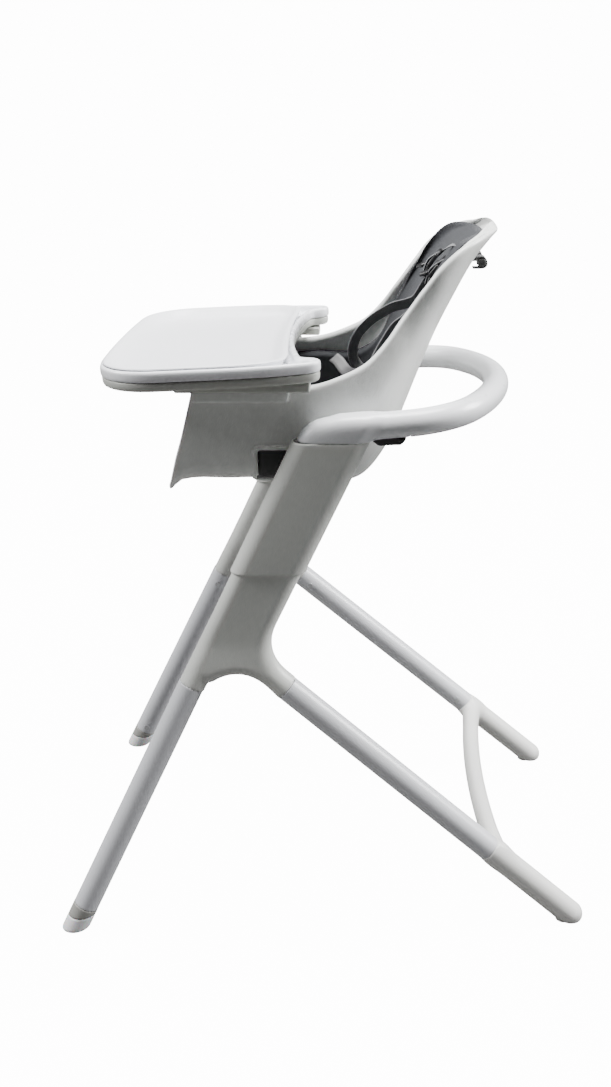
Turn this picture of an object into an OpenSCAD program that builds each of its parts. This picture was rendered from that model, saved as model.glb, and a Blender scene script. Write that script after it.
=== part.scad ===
// Baby high chair with a sliding seat carriage, a reclining bucket seat and a lift-off tray.
// Frame: +Z up, the child faces -Y, +X is the child's left. Origin on the floor, mid-way between the feet.
// Millimetres throughout.

/* [Stance] */
// Distance between the front feet's centres
track_front = 538; // [480:1:600]
// Distance between the rear feet's centres
track_rear = 460; // [420:1:520]
// Front foot's centre, forward of the origin
front_reach = 363; // [340:1:380]
// Rear foot's end centre, behind the origin
rear_reach = 359; // [340:1:380]
// Outside diameter of the leg tubes
leg_d = 37; // [34:0.5:38]
// Wall of the leg tubes
leg_wall = 2; // [1.5:0.5:3]

/* [Columns and carriage] */
// Half the distance between the column centres
frame_half = 207; // [200:1:225]
// Lean of the columns from the vertical
lean = 25.5; // [20:0.5:30]
// Width of a column, front to back
col_w = 86; // [80:1:90]
// Thickness of a column
col_t = 34; // [32:1:38]
// Wall of the carriage sleeve
sleeve_wall = 2.3; // [2:0.1:3]
// Gap between column and sleeve, which the guide bushes fill
guide_gap = 1.2; // [1:0.1:2]
// Height of the sleeve's lower edge
sleeve_low = 543; // [520:1:570]
// Height of the seam between sleeve and handle
sleeve_high = 726; // [710:1:740]
// Travel of the height adjustment, downwards along the columns
height_travel = 95; // [60:1:100]

/* [Handle] */
// Diameter of the handle
grip_d = 36; // [30:1:40]
// Half the width of the handle loop at its centre line
loop_half = 205; // [200:1:220]
// How far behind the origin the loop's centre line reaches
loop_back = 250; // [230:1:280]
// Radius of the loop's corners
loop_corner = 100; // [80:1:120]
// Radius of the loop's rear stretch
loop_sweep = 300; // [250:1:360]
// Rise of the loop towards the rear, in degrees
loop_rise = 5.7; // [0:0.1:8]

/* [Seat] */
// Wall of the seat shell
shell_wall = 4.5; // [3:0.5:6]
// Thickness of the pad on the seat and back
pad_t = 14; // [8:1:18]
// Recline pivot, behind the origin
pivot_y = -3; // [-10:1:10]
// Recline pivot's height
pivot_z = 683; // [678:1:690]
// Radius of the recline pivot's stub
pivot_r = 12; // [9:0.5:14]
// Width of the harness webbing
web_w = 20; // [15:1:25]
// Thickness of the harness webbing
web_t = 1.6; // [1:0.1:2.5]

/* [Tray] */
// Half the tray's width
tray_half = 238; // [225:1:250]
// Tray's front edge, forward of the origin
tray_front = 293; // [270:1:320]
// Tray arms' rear ends, behind the origin
tray_rear = 7; // [0:1:12]
// Height of the tray's underside at its front edge
tray_z = 794; // [792:1:804]
// Slope of the tray, rising to the rear, in degrees
tray_tilt = 2.2; // [0:0.1:4]
// Thickness of the tray's lower half
tray_base_t = 11; // [8:0.5:15]
// Thickness of the tray's upper half
tray_top_t = 15; // [12:0.5:20]
// Height of the liner's raised lip above its floor
lip_h = 9; // [6:0.5:12]

/* [Hidden] */
$fn = 64;
EPS = 0.01;

// Small fits
seam = 0.3;        // open line between pieces that butt together
run_fit = 0.05;    // radial clearance of a pin that turns
slide_fit = 0.3;   // clearance of a piece that slides
soft_gap = 1.5;    // clearance of soft pieces from hard ones

// Colours
PALE = [0.86, 0.87, 0.86];
GREY = [0.62, 0.63, 0.61];
WHITE = [0.93, 0.93, 0.92];
DARK = [0.13, 0.13, 0.13];
FOAM = [0.36, 0.38, 0.39];
STEEL = [0.7, 0.71, 0.72];

// ---------- points and frames ----------
leg_r = leg_d / 2;
grip_r = grip_d / 2;
col_y = -69.5;                       // column centre line at the sleeve's lower edge
col_z = sleeve_low;
function col_y_at(z) = col_y + (z - col_z) * tan(lean);
sleeve_w = col_w + 2 * (guide_gap + sleeve_wall);
sleeve_t = col_t + 2 * (guide_gap + sleeve_wall);
overlap = 84;                        // column length inside the sleeve when the seat is at its highest
branch = -105;                       // where the column starts to branch, along its own axis
socket_z = 374;                      // height of the seams between housing and leg tubes
spigot = 45;                         // how far a housing reaches into a tube
spigot_r = leg_r - leg_wall - 0.1;

front_top = [frame_half + 10, col_y_at(socket_z) - col_w / 2 / cos(lean) + leg_r / cos(lean) - 3, socket_z];
front_end = [track_front / 2, -front_reach, 0];
rear_top = [frame_half + 6, front_top[1] + 134, socket_z - 5];
rear_end = [track_rear / 2, rear_reach, 16.5];
front_len = norm(front_end - front_top) - 42;   // tube length, to the foot's seam
rear_len = norm(rear_end - rear_top) - 152;
sole_top = 24;                       // height of the joint between foot collar and foot pad
sole_t = 2.5;                        // rubber under the rear feet

function lerp(a, b, t) = a + (b - a) * t;
function point_on(p, q, d) = p + (q - p) * d / norm(q - p);

// Puts children on the line from p to q, with their own Z along it.
module along(p, q) {
    v = q - p;
    translate(p) rotate([0, acos(v[2] / norm(v)), atan2(v[1], v[0])]) children();
}
module mirrored() mirror([1, 0, 0]) children();
module both() { children(); mirror([1, 0, 0]) children(); }
module on_column() translate([frame_half, col_y, col_z]) rotate([-lean, 0, 0]) children();
module slab(low, high) translate([-400, -500, low]) cube([800, 1000, high - low]);
// A stadium, long in Y.
module stadium(length, width) {
    square([width, length - width], center = true);
    for (s = [-1, 1]) translate([0, s * (length - width) / 2]) circle(d = width);
}
module stadium_bar(length, width, low, high)
    translate([0, 0, low]) linear_extrude(high - low) stadium(length, width);

// ---------- base frame ----------
arch_r = 58;
arch_top = 392;
cavity_w = 60;                       // hollow of the column, which holds the lock rack
cavity_t = 22;
rack_w = 8;
rack_t = 14;
pawl_t = 6;

module leg_ring(top, end, h = 2) along(top, end) translate([0, 0, -h]) cylinder(r = leg_r, h = h);

module leg_housing() color(PALE) difference() {
    union() {
        on_column() stadium_bar(col_w, col_t, branch - 8, overlap);
        difference() {
            hull() {
                on_column() stadium_bar(col_w, col_t, branch - 10, branch);
                leg_ring(front_top, front_end);
                leg_ring(rear_top, rear_end);
            }
            translate([0, front_top[1] + 66, arch_top - arch_r]) rotate([0, 90, 0])
                cylinder(r = arch_r, h = 400);
        }
        along(front_top, front_end) translate([0, 0, -60]) cylinder(r = leg_r, h = 60);
        along(rear_top, rear_end) translate([0, 0, -45]) cylinder(r = leg_r, h = 45);
        along(front_top, front_end) translate([0, 0, -EPS]) cylinder(r = spigot_r, h = spigot);
        along(rear_top, rear_end) translate([0, 0, -EPS]) cylinder(r = spigot_r, h = spigot);
    }
    on_column() translate([-cavity_t / 2, -cavity_w / 2, -100]) cube([cavity_t, cavity_w, 240]);
    screw_cuts(front_top, front_end, spigot / 2);
    screw_cuts(rear_top, rear_end, spigot / 2);
}

// Cross screws that hold a tube on its spigot, driven from the chair's inner side.
screw_r = 2.5;
screw_head_r = 4.5;
screw_len = 20;
module screw_at(top, end, d, grow = 0)
    translate(point_on(top, end, d)) rotate([0, -90, 0]) {
        translate([0, 0, leg_r - screw_len]) cylinder(r = screw_r + grow, h = screw_len);
        translate([0, 0, leg_r - 1.2 - grow]) cylinder(r = screw_head_r + grow, h = 4);
    }
module screw_cuts(top, end, d) screw_at(top, end, d, 0.1);
module leg_screws() color(STEEL) both() {
    intersection() {
        union() {
            screw_at(front_top, front_end, spigot / 2);
            screw_at(rear_top, rear_end, spigot / 2);
            screw_at(front_top, front_end, front_len - 12);
            screw_at(rear_top, rear_end, rear_len - 20);
        }
        slab(0, 500);
    }
}

module leg_tube(top, end, length, low_screw) color(PALE) difference() {
    along(top, end) difference() {
        translate([0, 0, seam]) cylinder(r = leg_r, h = length - seam);
        translate([0, 0, -1]) cylinder(r = leg_r - leg_wall, h = length + 2);
    }
    screw_cuts(top, end, spigot / 2);
    screw_cuts(top, end, low_screw);
}
module front_leg() leg_tube(front_top, front_end, front_len, front_len - 12);
module rear_leg() leg_tube(rear_top, rear_end, rear_len, rear_len - 20);

module front_foot_collar() color(GREY) difference() {
    union() {
        intersection() {
            along(front_top, front_end) translate([0, 0, front_len + seam]) cylinder(r = leg_r, h = 60);
            slab(sole_top, 100);
        }
        along(front_top, front_end) translate([0, 0, front_len - 25]) cylinder(r = spigot_r, h = 26);
    }
    screw_cuts(front_top, front_end, front_len - 12);
}
module front_foot_pad() color(WHITE) intersection() {
    along(front_top, front_end) translate([0, 0, front_len]) cylinder(r = leg_r, h = 80);
    slab(0, sole_top - seam);
    translate([front_end[0], front_end[1] + sole_top * tan(lean) / 2, 0])
        cylinder(r1 = leg_r + 2, r2 = leg_r + 2 + sole_top, h = sole_top);
}

bar_r = 14;
bar_bow = 15;
bar_at = point_on(rear_top, rear_end, rear_len + 18);
bar_R = (pow(bar_at[0], 2) + pow(bar_bow, 2)) / (2 * bar_bow);
module rear_foot_bar() color(PALE) difference() {
    union() {
        both() {
            intersection() {
                union() {
                    along(rear_top, rear_end) translate([0, 0, rear_len + seam])
                        cylinder(r = leg_r, h = norm(rear_end - rear_top) - rear_len - seam);
                    translate(rear_end) sphere(r = leg_r + 0.04);
                }
                slab(sole_t, 300);
            }
            along(rear_top, rear_end) translate([0, 0, rear_len - 40]) cylinder(r = spigot_r, h = 41);
        }
        translate([0, bar_at[1] - bar_bow + bar_R, bar_at[2]])
            rotate([0, 0, -90 - asin(bar_at[0] / bar_R)])
                rotate_extrude(angle = 2 * asin(bar_at[0] / bar_R)) translate([bar_R, 0]) circle(r = bar_r);
    }
    both() screw_cuts(rear_top, rear_end, rear_len - 20);
}
module rear_foot_pads() color(DARK) both()
    translate([rear_end[0], rear_end[1] - 2, 0]) cylinder(r = 11, h = sole_t);

// Notched bar inside the column. Its notches set three heights.
module lock_rack() color(STEEL) on_column() difference() {
    translate([-rack_t / 2, -cavity_w / 2, -95]) cube([rack_t, rack_w, 95 + overlap - 8]);
    for (i = [0:2]) translate([-rack_t, -cavity_w / 2 + rack_w - 3, overlap - 30 - i * height_travel / 2])
        cube([2 * rack_t, 4, 8]);
}

// ---------- carriage ----------
sleeve_hollow_w = col_w + 2 * guide_gap;
sleeve_hollow_t = col_t + 2 * guide_gap;
module sleeve() color(PALE) difference() {
    intersection() {
        on_column() stadium_bar(sleeve_w, sleeve_t, -60, 260);
        slab(sleeve_low, sleeve_high - seam);
    }
    on_column() stadium_bar(sleeve_hollow_w, sleeve_hollow_t, -70, 270);
}
module bush_ring(low, high) on_column() difference() {
    stadium_bar(sleeve_hollow_w - 2 * run_fit, sleeve_hollow_t - 2 * run_fit, low, high);
    stadium_bar(col_w + 2 * run_fit, col_t + 2 * run_fit, low - 1, high + 1);
}
module guide_bushes() color(DARK) {
    bush_ring(24, 40);
    bush_ring(60, 76);
}

// Handle loop, drawn flat and tilted about the X axis.
loop_z = sleeve_high + 10;
loop_start = 60;
corner_y = loop_back - loop_sweep + sqrt(pow(loop_sweep - loop_corner, 2) - pow(loop_half - loop_corner, 2));
corner_turn = 90 - atan2(loop_half - loop_corner, corner_y - (loop_back - loop_sweep));
rear_turn = 90 - corner_turn;
module tilt_loop() translate([0, 0, loop_z]) rotate([loop_rise, 0, 0]) children();
// Carries a section, drawn with its X outwards and its Y up, round half of the loop.
module half_loop_sweep(from = loop_start) {
    translate([loop_half, corner_y, 0]) rotate([90, 0, 0]) linear_extrude(corner_y - from) children();
    translate([loop_half - loop_corner, corner_y, 0]) rotate_extrude(angle = corner_turn)
        translate([loop_corner, 0]) children();
    translate([0, loop_back - loop_sweep, 0]) rotate([0, 0, 90 - rear_turn])
        rotate_extrude(angle = rear_turn) translate([loop_sweep, 0]) children();
}
strip_cut = -14;                     // where the grip strip starts, below the loop's centre line
handle_wall = 3;
module grip_section(low, high, r) intersection() {
    circle(r = r);
    translate([-50, low]) square([100, high - low]);
}
// Bend that fans from the sleeve's stadium to the round handle.
module elbow() intersection() {
    hull() {
        intersection() {
            on_column() stadium_bar(sleeve_w, sleeve_t, 0, 300);
            slab(sleeve_high, sleeve_high + 2);
        }
        tilt_loop() translate([loop_half, loop_start + 8, 0]) rotate([90, 0, 0])
            cylinder(r = grip_r - 0.3, h = 4);
        tilt_loop() translate([loop_half, 15, 0]) scale([1, 1.6, 1]) sphere(r = grip_r - 0.5);
    }
    slab(sleeve_high, 900);
}
trigger_from = 72;
trigger_len = 42;
trigger_w = 20;
module trigger_bay() tilt_loop() translate([loop_half - trigger_w / 2 - 1, trigger_from - 6, -grip_r - 4])
    cube([trigger_w + 2, trigger_len + 12, 16]);
core_r = grip_r - handle_wall - 2 - run_fit;
module handle_shell() color(PALE) both() difference() {
    union() {
        tilt_loop() half_loop_sweep() difference() {
            grip_section(strip_cut, grip_r, grip_r);
            circle(r = grip_r - handle_wall - 2);
        }
        difference() { elbow(); elbow_hollow(); }
    }
    trigger_bay();
    along_pin() cylinder(r = trigger_pin_r + run_fit, h = 60, center = true);
    elbow_screw(0.1);
}
module elbow_hollow() {
    intersection() {
        on_column() stadium_bar(sleeve_hollow_w - 4, sleeve_hollow_t - 4, 0, 300);
        slab(sleeve_high - 2, sleeve_high + 11);
    }
    tilt_loop() translate([loop_half, loop_start + 20, 0]) rotate([90, 0, 0])
        cylinder(r = grip_r - handle_wall - 2.4, h = 60);
}
module handle_grip_strip() color(GREY) both() difference() {
    tilt_loop() half_loop_sweep(corner_y - 3) difference() {
        grip_section(-grip_r, strip_cut - seam, grip_r - 0.2);
        circle(r = grip_r - handle_wall);
    }
}
module handle_core() color(STEEL) both() tilt_loop() half_loop_sweep(corner_y - 3) difference() {
    circle(r = core_r);
    circle(r = core_r - 1.5);
}
module elbow_screw(grow = 0) for (d = [0, 12])
    translate([frame_half, col_y_at(sleeve_high) + d, sleeve_high - 8]) cylinder(r = 2 + grow, h = 28);
module handle_screws() color(STEEL) both() elbow_screw();

trigger_pin_r = 2.5;
module along_pin() tilt_loop() translate([loop_half, trigger_from, -12]) rotate([0, 90, 0]) children();
module trigger() color(DARK) difference() {
    tilt_loop() translate([loop_half - trigger_w / 2, 0, 0]) rotate([90, 0, 90]) linear_extrude(trigger_w)
        polygon([[trigger_from - 4.5, -8], [trigger_from + 3, -8], [trigger_from + trigger_len, -15],
            [trigger_from + trigger_len, -20], [trigger_from + trigger_len - 8, -26],
            [trigger_from + 5, -24], [trigger_from - 4.5, -15.5]]);
    along_pin() cylinder(r = trigger_pin_r + run_fit, h = 60, center = true);
}
module trigger_pin() color(STEEL) along_pin() cylinder(r = trigger_pin_r, h = trigger_w + 8, center = true);

// Bar that hangs from the elbow into the column's hollow and guides the pawl.
carrier_low = 40;
carrier_y = [-14, 22];
carrier_t = 18;
module pawl_carrier() color(GREY) intersection() {
    on_column() difference() {
        translate([-carrier_t / 2, carrier_y[0], carrier_low])
            cube([carrier_t, carrier_y[1] - carrier_y[0], 220]);
        translate([-pawl_t / 2 - slide_fit, carrier_y[0] - 1, 0]) cube([pawl_t + 2 * slide_fit, 15, 400]);
    }
    difference() {
        slab(0, sleeve_high + 11);
        elbow_screw(0.1);
    }
}
// One tooth faces the rack.
module lock_pawl() color(DARK) on_column() {
    translate([-pawl_t / 2, -cavity_w / 2 + rack_w + slide_fit, overlap - 29.5]) cube([pawl_t, 12, 7]);
    translate([-pawl_t / 2, -cavity_w / 2 + rack_w + 8, carrier_low + 4]) cube([pawl_t, 8, 130]);
}

// Bracket on the sleeve's inner face, with the stub that the seat turns on.
sleeve_inner = frame_half - sleeve_t / 2;
hub_r = 24;
hub_out = 180.2;                     // outer face of the seat's hub
hub_in = 168;                        // inner face of the seat's hub
pin_r = 2.5;
pin_at = 18;                         // distance of the recline pin from the pivot
recline = 20;                        // angle between the two recline stops
module pivot_axis() translate([0, pivot_y, pivot_z]) rotate([0, 90, 0]) children();
module seat_mount() color(DARK) pivot_axis() difference() {
    union() {
        translate([0, 0, hub_out + seam]) cylinder(r = hub_r, h = sleeve_inner - hub_out - seam);
        translate([0, 0, hub_in + 2]) cylinder(r = pivot_r, h = 12);
    }
    for (a = [0, recline]) rotate([0, 0, -a]) translate([pin_at, 0, 0])
        cylinder(r = pin_r + run_fit, h = 300);
}

// ---------- seat ----------
// Stations of the seat shell's outer surface, from the front edge to the top of the back:
// keel [y, z] on the mid-plane, rim [x, y, z], and squareness of the section between them.
STATIONS = [
    [[-205, 642], [180, -166, 788], 14],
    [[-120, 658], [180, -110, 788], 14],
    [[ -45, 655], [180,  -45, 788], 11],
    [[  15, 645], [181,   -5, 792], 7],
    [[  62, 649], [180,   32, 804], 4.4],
    [[  97, 691], [176,   65, 821], 3.4],
    [[ 118, 738], [168,   92, 849], 2.8],
    [[ 138, 787], [160,  113, 879], 2.5],
    [[ 160, 841], [158,  134, 909], 2.4],
    [[ 183, 888], [158,  156, 937], 2.3],
    [[ 206, 931], [146,  184, 961], 2.2],
    [[ 228, 959], [118,  210, 974], 2.1],
    [[ 245, 972], [ 62,  232, 981], 2.0]];
KEELS = [for (s = STATIONS) [s[0][0], s[0][1], s[2]]];
RIMS = [for (s = STATIONS) s[1]];
SPAN = len(STATIONS) - 1;
// Catmull-Rom curve through a list of points, t from 0 to SPAN.
function along_list(P, t) =
    let(i = min(floor(t), SPAN - 1), f = t - i,
        a = P[max(i - 1, 0)], b = P[i], c = P[i + 1], d = P[min(i + 2, SPAN)])
    0.5 * (2 * b + (c - a) * f + (2 * a - 5 * b + 4 * c - d) * pow(f, 2)
        + (3 * b - a - 3 * c + d) * pow(f, 3));
// Point of the outer surface: t along the seat, u across it from -1 to 1, a superellipse at each t.
function skin(t, u) =
    let(k = along_list(KEELS, t), r = along_list(RIMS, t), a = 90 * min(abs(u), 1), n = k[2],
        rho = pow(pow(sin(a), n) + pow(cos(a), n), -1 / n),
        fx = sin(a) * rho, h = 1 - cos(a) * rho)
    [sign(u) * r[0] * fx, lerp(k[0], r[1], h), lerp(k[1], r[2], h)];
function unit(v) = v / max(norm(v), 1e-6);
function skin_inward(t, u) =
    let(d = 0.04, t0 = max(t - d, 0), t1 = min(t + d, SPAN), u0 = max(u - d, -1), u1 = min(u + d, 1))
    unit(cross(skin(t0, u) - skin(t1, u), skin(t, u1) - skin(t, u0)));
function layer(t, u, depth) = skin(t, u) + depth * skin_inward(t, u);
function steps(a, b, n) = [for (i = [0:n]) a + (b - a) * i / n];
// How far across the seat pad reaches: its edge stays pad_inset below the rim.
pad_inset = 22;
function pad_reach(t) =
    let(k = along_list(KEELS, t), r = along_list(RIMS, t))
    max(0.5, 1 - 0.637 * pad_inset / norm([r[1] - k[0], r[2] - k[1]]));

// Closed solid between two depths below the outer surface. T and U list its t and u values;
// fit = 1 scales u by the pad's reach.
module skin_solid(T, U, near, far, fit = 0) {
    n = len(T);
    m = len(U);
    function wide(t) = fit == 1 ? pad_reach(t) : 1;
    function id(k, i, j) = k * n * m + i * m + j;
    pts = concat([for (t = T) for (u = U) layer(t, u * wide(t), near)],
                 [for (t = T) for (u = U) layer(t, u * wide(t) * (fit == 1 ? 0.985 : 1), far)]);
    faces = [for (k = [0, 1]) for (i = [0:n - 2]) for (j = [0:m - 2])
        let(a = id(k, i, j), b = id(k, i + 1, j), c = id(k, i + 1, j + 1), d = id(k, i, j + 1))
        each (k == 0 ? [[a, c, b], [a, d, c]] : [[a, b, c], [a, c, d]])];
    edge = [for (j = [0:m - 1]) [0, j], for (i = [1:n - 1]) [i, m - 1],
            for (j = [m - 2:-1:0]) [n - 1, j], for (i = [n - 2:-1:1]) [i, 0]];
    walls = [for (k = [0:len(edge) - 1])
        let(a = edge[k], b = edge[(k + 1) % len(edge)])
        each [[id(0, a[0], a[1]), id(1, b[0], b[1]), id(0, b[0], b[1])],
              [id(0, a[0], a[1]), id(1, a[0], a[1]), id(1, b[0], b[1])]]];
    polyhedron(points = pts, faces = concat(faces, walls), convexity = 6);
}

rail_x = [172, 195.5];
rail_y = [-166, -38];
rail_z = [772, 788.8];
slot_x = 40;                         // harness slots from the mid-plane
slot_z = [939, 923];
slot_h = web_t + 3.4;
crotch_t = 1.77;                     // where the crotch strap leaves the seat
crotch_y = skin(crotch_t, 0)[1];
crotch_z = skin(crotch_t, 0)[2] - 1.2;
waist_t = [4.35, 4.75];
waist_u = 0.7;
plate_y = [-150, -90];
plate_w = 16;
plate_t = 2;
module rail() translate([rail_x[0], rail_y[0], rail_z[0]])
    cube([rail_x[1] - rail_x[0], rail_y[1] - rail_y[0], rail_z[1] - rail_z[0]]);
module plate_pocket() translate([rail_x[1] - plate_w - 3.1, plate_y[0] - 0.1, rail_z[1] - plate_t])
    cube([plate_w + 0.2, plate_y[1] - plate_y[0] + 0.2, 10]);
module rail_strike_plates() color(STEEL) both()
    translate([rail_x[1] - plate_w - 3, plate_y[0], rail_z[1] - plate_t])
        cube([plate_w, plate_y[1] - plate_y[0], plate_t]);
module strap_slots() {
    both() for (z = slot_z)
        translate([slot_x - web_w / 2 - 2, 100, z - slot_h / 2]) cube([web_w + 4, 200, slot_h]);
    translate([-web_w / 2 - 2, crotch_y - 3, 640]) cube([web_w + 4, 6, 120]);
}
module seat_shell() color(WHITE) {
    difference() {
        union() {
            skin_solid(steps(0, SPAN - 0.05, 40), steps(-1, 1, 36), 0, shell_wall);
            both() rail();
        }
        strap_slots();
        both() plate_pocket();
        both() pivot_axis() translate([0, 0, 100]) cylinder(r = hub_r + 0.12, h = 120);
    }
    lever_lugs();
}
module seat_hub() color(DARK) pivot_axis() difference() {
    translate([0, 0, hub_in]) cylinder(r = hub_r, h = hub_out - hub_in);
    translate([0, 0, hub_in + 1.5]) cylinder(r = pivot_r + run_fit, h = 30);
    translate([pin_at, 0, hub_in - 1]) cylinder(r = pin_r + run_fit, h = 40);
}
module recline_pin() color(STEEL) pivot_axis()
    translate([pin_at, 0, hub_in + 1.5]) cylinder(r = pin_r, h = hub_out - hub_in - 1.7);

// Recline lever under the seat, between two lugs of the shell.
lever_at = [-28, 636];
lug_x = 40;
lug_t = 5;
lever_pin_r = 3;
module lever_axis() translate([0, lever_at[0], lever_at[1]]) rotate([0, 90, 0]) children();
module lever_lugs() both() difference() {
    union() {
        lever_axis() translate([0, 0, lug_x]) cylinder(r = 7, h = lug_t);
        translate([lug_x, lever_at[0] - 7, lever_at[1]]) cube([lug_t, 14, 20]);
    }
    lever_axis() cylinder(r = lever_pin_r + run_fit, h = 100);
}
module recline_lever_pin() color(STEEL) lever_axis()
    cylinder(r = lever_pin_r, h = 2 * (lug_x + lug_t), center = true);
module recline_lever() color(DARK) difference() {
    union() {
        lever_axis() cylinder(r = 6, h = 2 * lug_x - 1, center = true);
        translate([-lug_x + 0.5, lever_at[0] - 4, lever_at[1] - 30]) cube([2 * lug_x - 1, 5, 30]);
        translate([-lug_x + 0.5, lever_at[0] - 4, lever_at[1] - 32]) rotate([90, 0, 90])
            cylinder(r = 4, h = 2 * lug_x - 1);
    }
    lever_axis() cylinder(r = lever_pin_r + run_fit, h = 200, center = true);
}

pad_depth = shell_wall + soft_gap;
pad_front = pad_depth + pad_t;
web_depth = pad_front + 0.8;
module seat_pad() color(FOAM) difference() {
    skin_solid(steps(0.3, 11.1, 36), steps(-1, 1, 36), pad_depth, pad_front, 1);
    strap_slots();
    both() pivot_axis() translate([0, 0, hub_in - soft_gap]) cylinder(r = hub_r + soft_gap, h = 50);
    both() skin_solid(steps(waist_t[0] - 0.06, waist_t[1] + 0.06, 4),
                      steps(waist_u - 0.03, waist_u + 0.03, 2), 3, 30);
}
// Webbing: each shoulder strap lies on the pad, leaves by the upper slot, bends round
// and comes back by the lower one.
bight_y = 219;
bight_z = (slot_z[0] + slot_z[1]) / 2;
bight_r = (slot_z[0] - slot_z[1] + web_t) / 2;
module shoulder_webbing() color(GREY) both() {
    skin_solid(steps(8.35, 10.1, 10), steps(0.12, 0.2, 2), web_depth, web_depth + web_t);
    translate([slot_x - web_w / 2, 0, 0]) rotate([90, 0, 90]) linear_extrude(web_w) difference() {
        union() {
            translate([bight_y, bight_z]) circle(r = bight_r);
            translate([180, bight_z - bight_r]) square([bight_y - 180, 2 * bight_r]);
        }
        translate([bight_y, bight_z]) circle(r = bight_r - web_t);
        translate([100, bight_z - bight_r + web_t]) square([bight_y - 100, 2 * (bight_r - web_t)]);
        translate([100, bight_z - bight_r - 1]) square([90, bight_r]);
    }
}
module waist_strap() color(GREY) {
    skin_solid(steps(waist_t[0], waist_t[1], 4), steps(0.38, waist_u, 8), web_depth, web_depth + web_t);
    skin_solid(steps(waist_t[0], waist_t[1], 4), steps(waist_u - 0.008, waist_u + 0.008, 2),
               pad_depth, web_depth + web_t);
}
module crotch_strap() color(GREY) {
    translate([-web_w / 2, crotch_y - web_t / 2, crotch_z - 2])
        cube([web_w, web_t, buckle_low + 14 - crotch_z]);
    translate([-web_w / 2 - 6, crotch_y - 7, crotch_z - 3 - seam]) cube([web_w + 12, 14, 3]);
}
buckle_low = 731;
buckle_h = 46;
buckle_w = 46;
buckle_t = 15;
button_r = 11;
module buckle_body() color(DARK) difference() {
    translate([-buckle_w / 2, crotch_y - buckle_t / 2, buckle_low]) cube([buckle_w, buckle_t, buckle_h]);
    translate([-web_w / 2 - slide_fit, crotch_y - web_t / 2 - slide_fit, buckle_low - 1])
        cube([web_w + 2 * slide_fit, web_t + 2 * slide_fit, 13.3]);
    translate([0, crotch_y - buckle_t / 2 - 1, buckle_low + 26]) rotate([-90, 0, 0])
        cylinder(r = button_r + slide_fit, h = 10);
    both() translate([12, crotch_y - 3, buckle_low + buckle_h - 14]) cube([20, 5, 9]);
}
module buckle_button() color(GREY)
    translate([0, crotch_y - buckle_t / 2 - 1.5, buckle_low + 26]) rotate([-90, 0, 0])
        cylinder(r = button_r, h = 6);
module buckle_tongue() color(DARK) {
    skin_solid(steps(7.75, 8.3, 5), steps(0.1, 0.22, 4), web_depth, web_depth + 4);
    skin_solid(steps(7.35, 7.8, 4), steps(0.13, 0.19, 2), web_depth, web_depth + 3);
}

// ---------- tray ----------
belly_r = 765;
belly_y = -38;
corner_front = 78;
corner_rear = 55;
arm_in = 36;
arm_r = 20;
// Plan outline of the tray, drawn d inside its edge.
module tray_plan(d = 0) difference() {
    union() {
        for (s = [-1, 1]) {
            translate([s * (tray_half - corner_front), -tray_front + corner_front])
                circle(r = corner_front - d);
            translate([s * (tray_half - corner_rear - 3), -80]) circle(r = corner_rear - d);
            if (d < arm_r - 2) {
                translate([s * (tray_half - arm_in), tray_rear - arm_r]) circle(r = arm_r - d);
                translate([s * (tray_half - arm_in) - arm_r + d, -90])
                    square([2 * (arm_r - d), 90 + tray_rear - arm_r]);
            }
        }
        translate([-tray_half + d, -tray_front + corner_front]) square([2 * (tray_half - d), 140]);
        translate([-tray_half + corner_front, -tray_front + d]) square([2 * (tray_half - corner_front), 140]);
        translate([-tray_half + corner_rear, -150]) square([2 * (tray_half - corner_rear), 135 - d]);
    }
    translate([0, belly_y + belly_r]) intersection() {
        circle(r = belly_r + d, $fn = 360);
        square([2 * (tray_half - arm_in - arm_r + d), 3 * belly_r], center = true);
    }
}
module on_tray(z = 0)
    translate([0, -tray_front, tray_z]) rotate([tray_tilt, 0, 0]) translate([0, tray_front, z]) children();
module tray_slice(d, low, high) on_tray(low) linear_extrude(high - low) tray_plan(d);
runner_x = [182, 212];
runner_y = [-188, -6];
rail_gap = 0.4;
magnet_r = 6;
magnet_t = 4;
magnet_y = [-140, -100];
tray_wall = 2.8;
module magnets_at() both() for (y = magnet_y)
    translate([rail_x[1] - plate_w / 2 - 3, y, rail_z[1] + rail_gap]) children();
module screws_at() for (p = [[-190, -215], [190, -215], [-190, -60], [190, -60], [-90, -262], [90, -262]])
    translate([p[0], p[1], 0]) children();
module tray_base() color(WHITE) difference() {
    union() {
        tray_slice(3, 0, tray_base_t);
        intersection() {
            both() translate([runner_x[0], runner_y[0], rail_z[1] + rail_gap])
                cube([runner_x[1] - runner_x[0], runner_y[1] - runner_y[0], 60]);
            slab(rail_z[1] + rail_gap, 900);
            tray_slice(3, -20, tray_base_t);
        }
    }
    difference() {
        tray_slice(3 + tray_wall, tray_wall, tray_base_t + 1);
        on_tray() screws_at() cylinder(r = 6, h = 30);
    }
    magnets_at() translate([0, 0, 1]) cylinder(r = magnet_r + 0.1, h = 5.1 + magnet_t);
    on_tray() screws_at() translate([0, 0, -20]) cylinder(r = 2.1, h = 60);
    on_tray() screws_at() translate([0, 0, -20]) cylinder(r = 4.1, h = 23);
}
module tray_magnets() color(STEEL) magnets_at() translate([0, 0, 1.1]) cylinder(r = magnet_r, h = magnet_t);
module tray_screws() color(STEEL) on_tray() screws_at() {
    translate([0, 0, 0.5]) cylinder(r = 4, h = 2.4);
    translate([0, 0, 2.8]) cylinder(r = 2, h = 12.5);
}
rim_w = 9;
floor_z = tray_base_t + seam + 5;
module tray_top() color(WHITE) difference() {
    tray_slice(0, tray_base_t + seam, tray_base_t + tray_top_t);
    tray_slice(rim_w, floor_z, tray_base_t + tray_top_t + 1);
    on_tray() screws_at() cylinder(r = 2.1, h = 17.5);
}
liner_t = 2.6;
liner_lip = 16;
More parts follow.
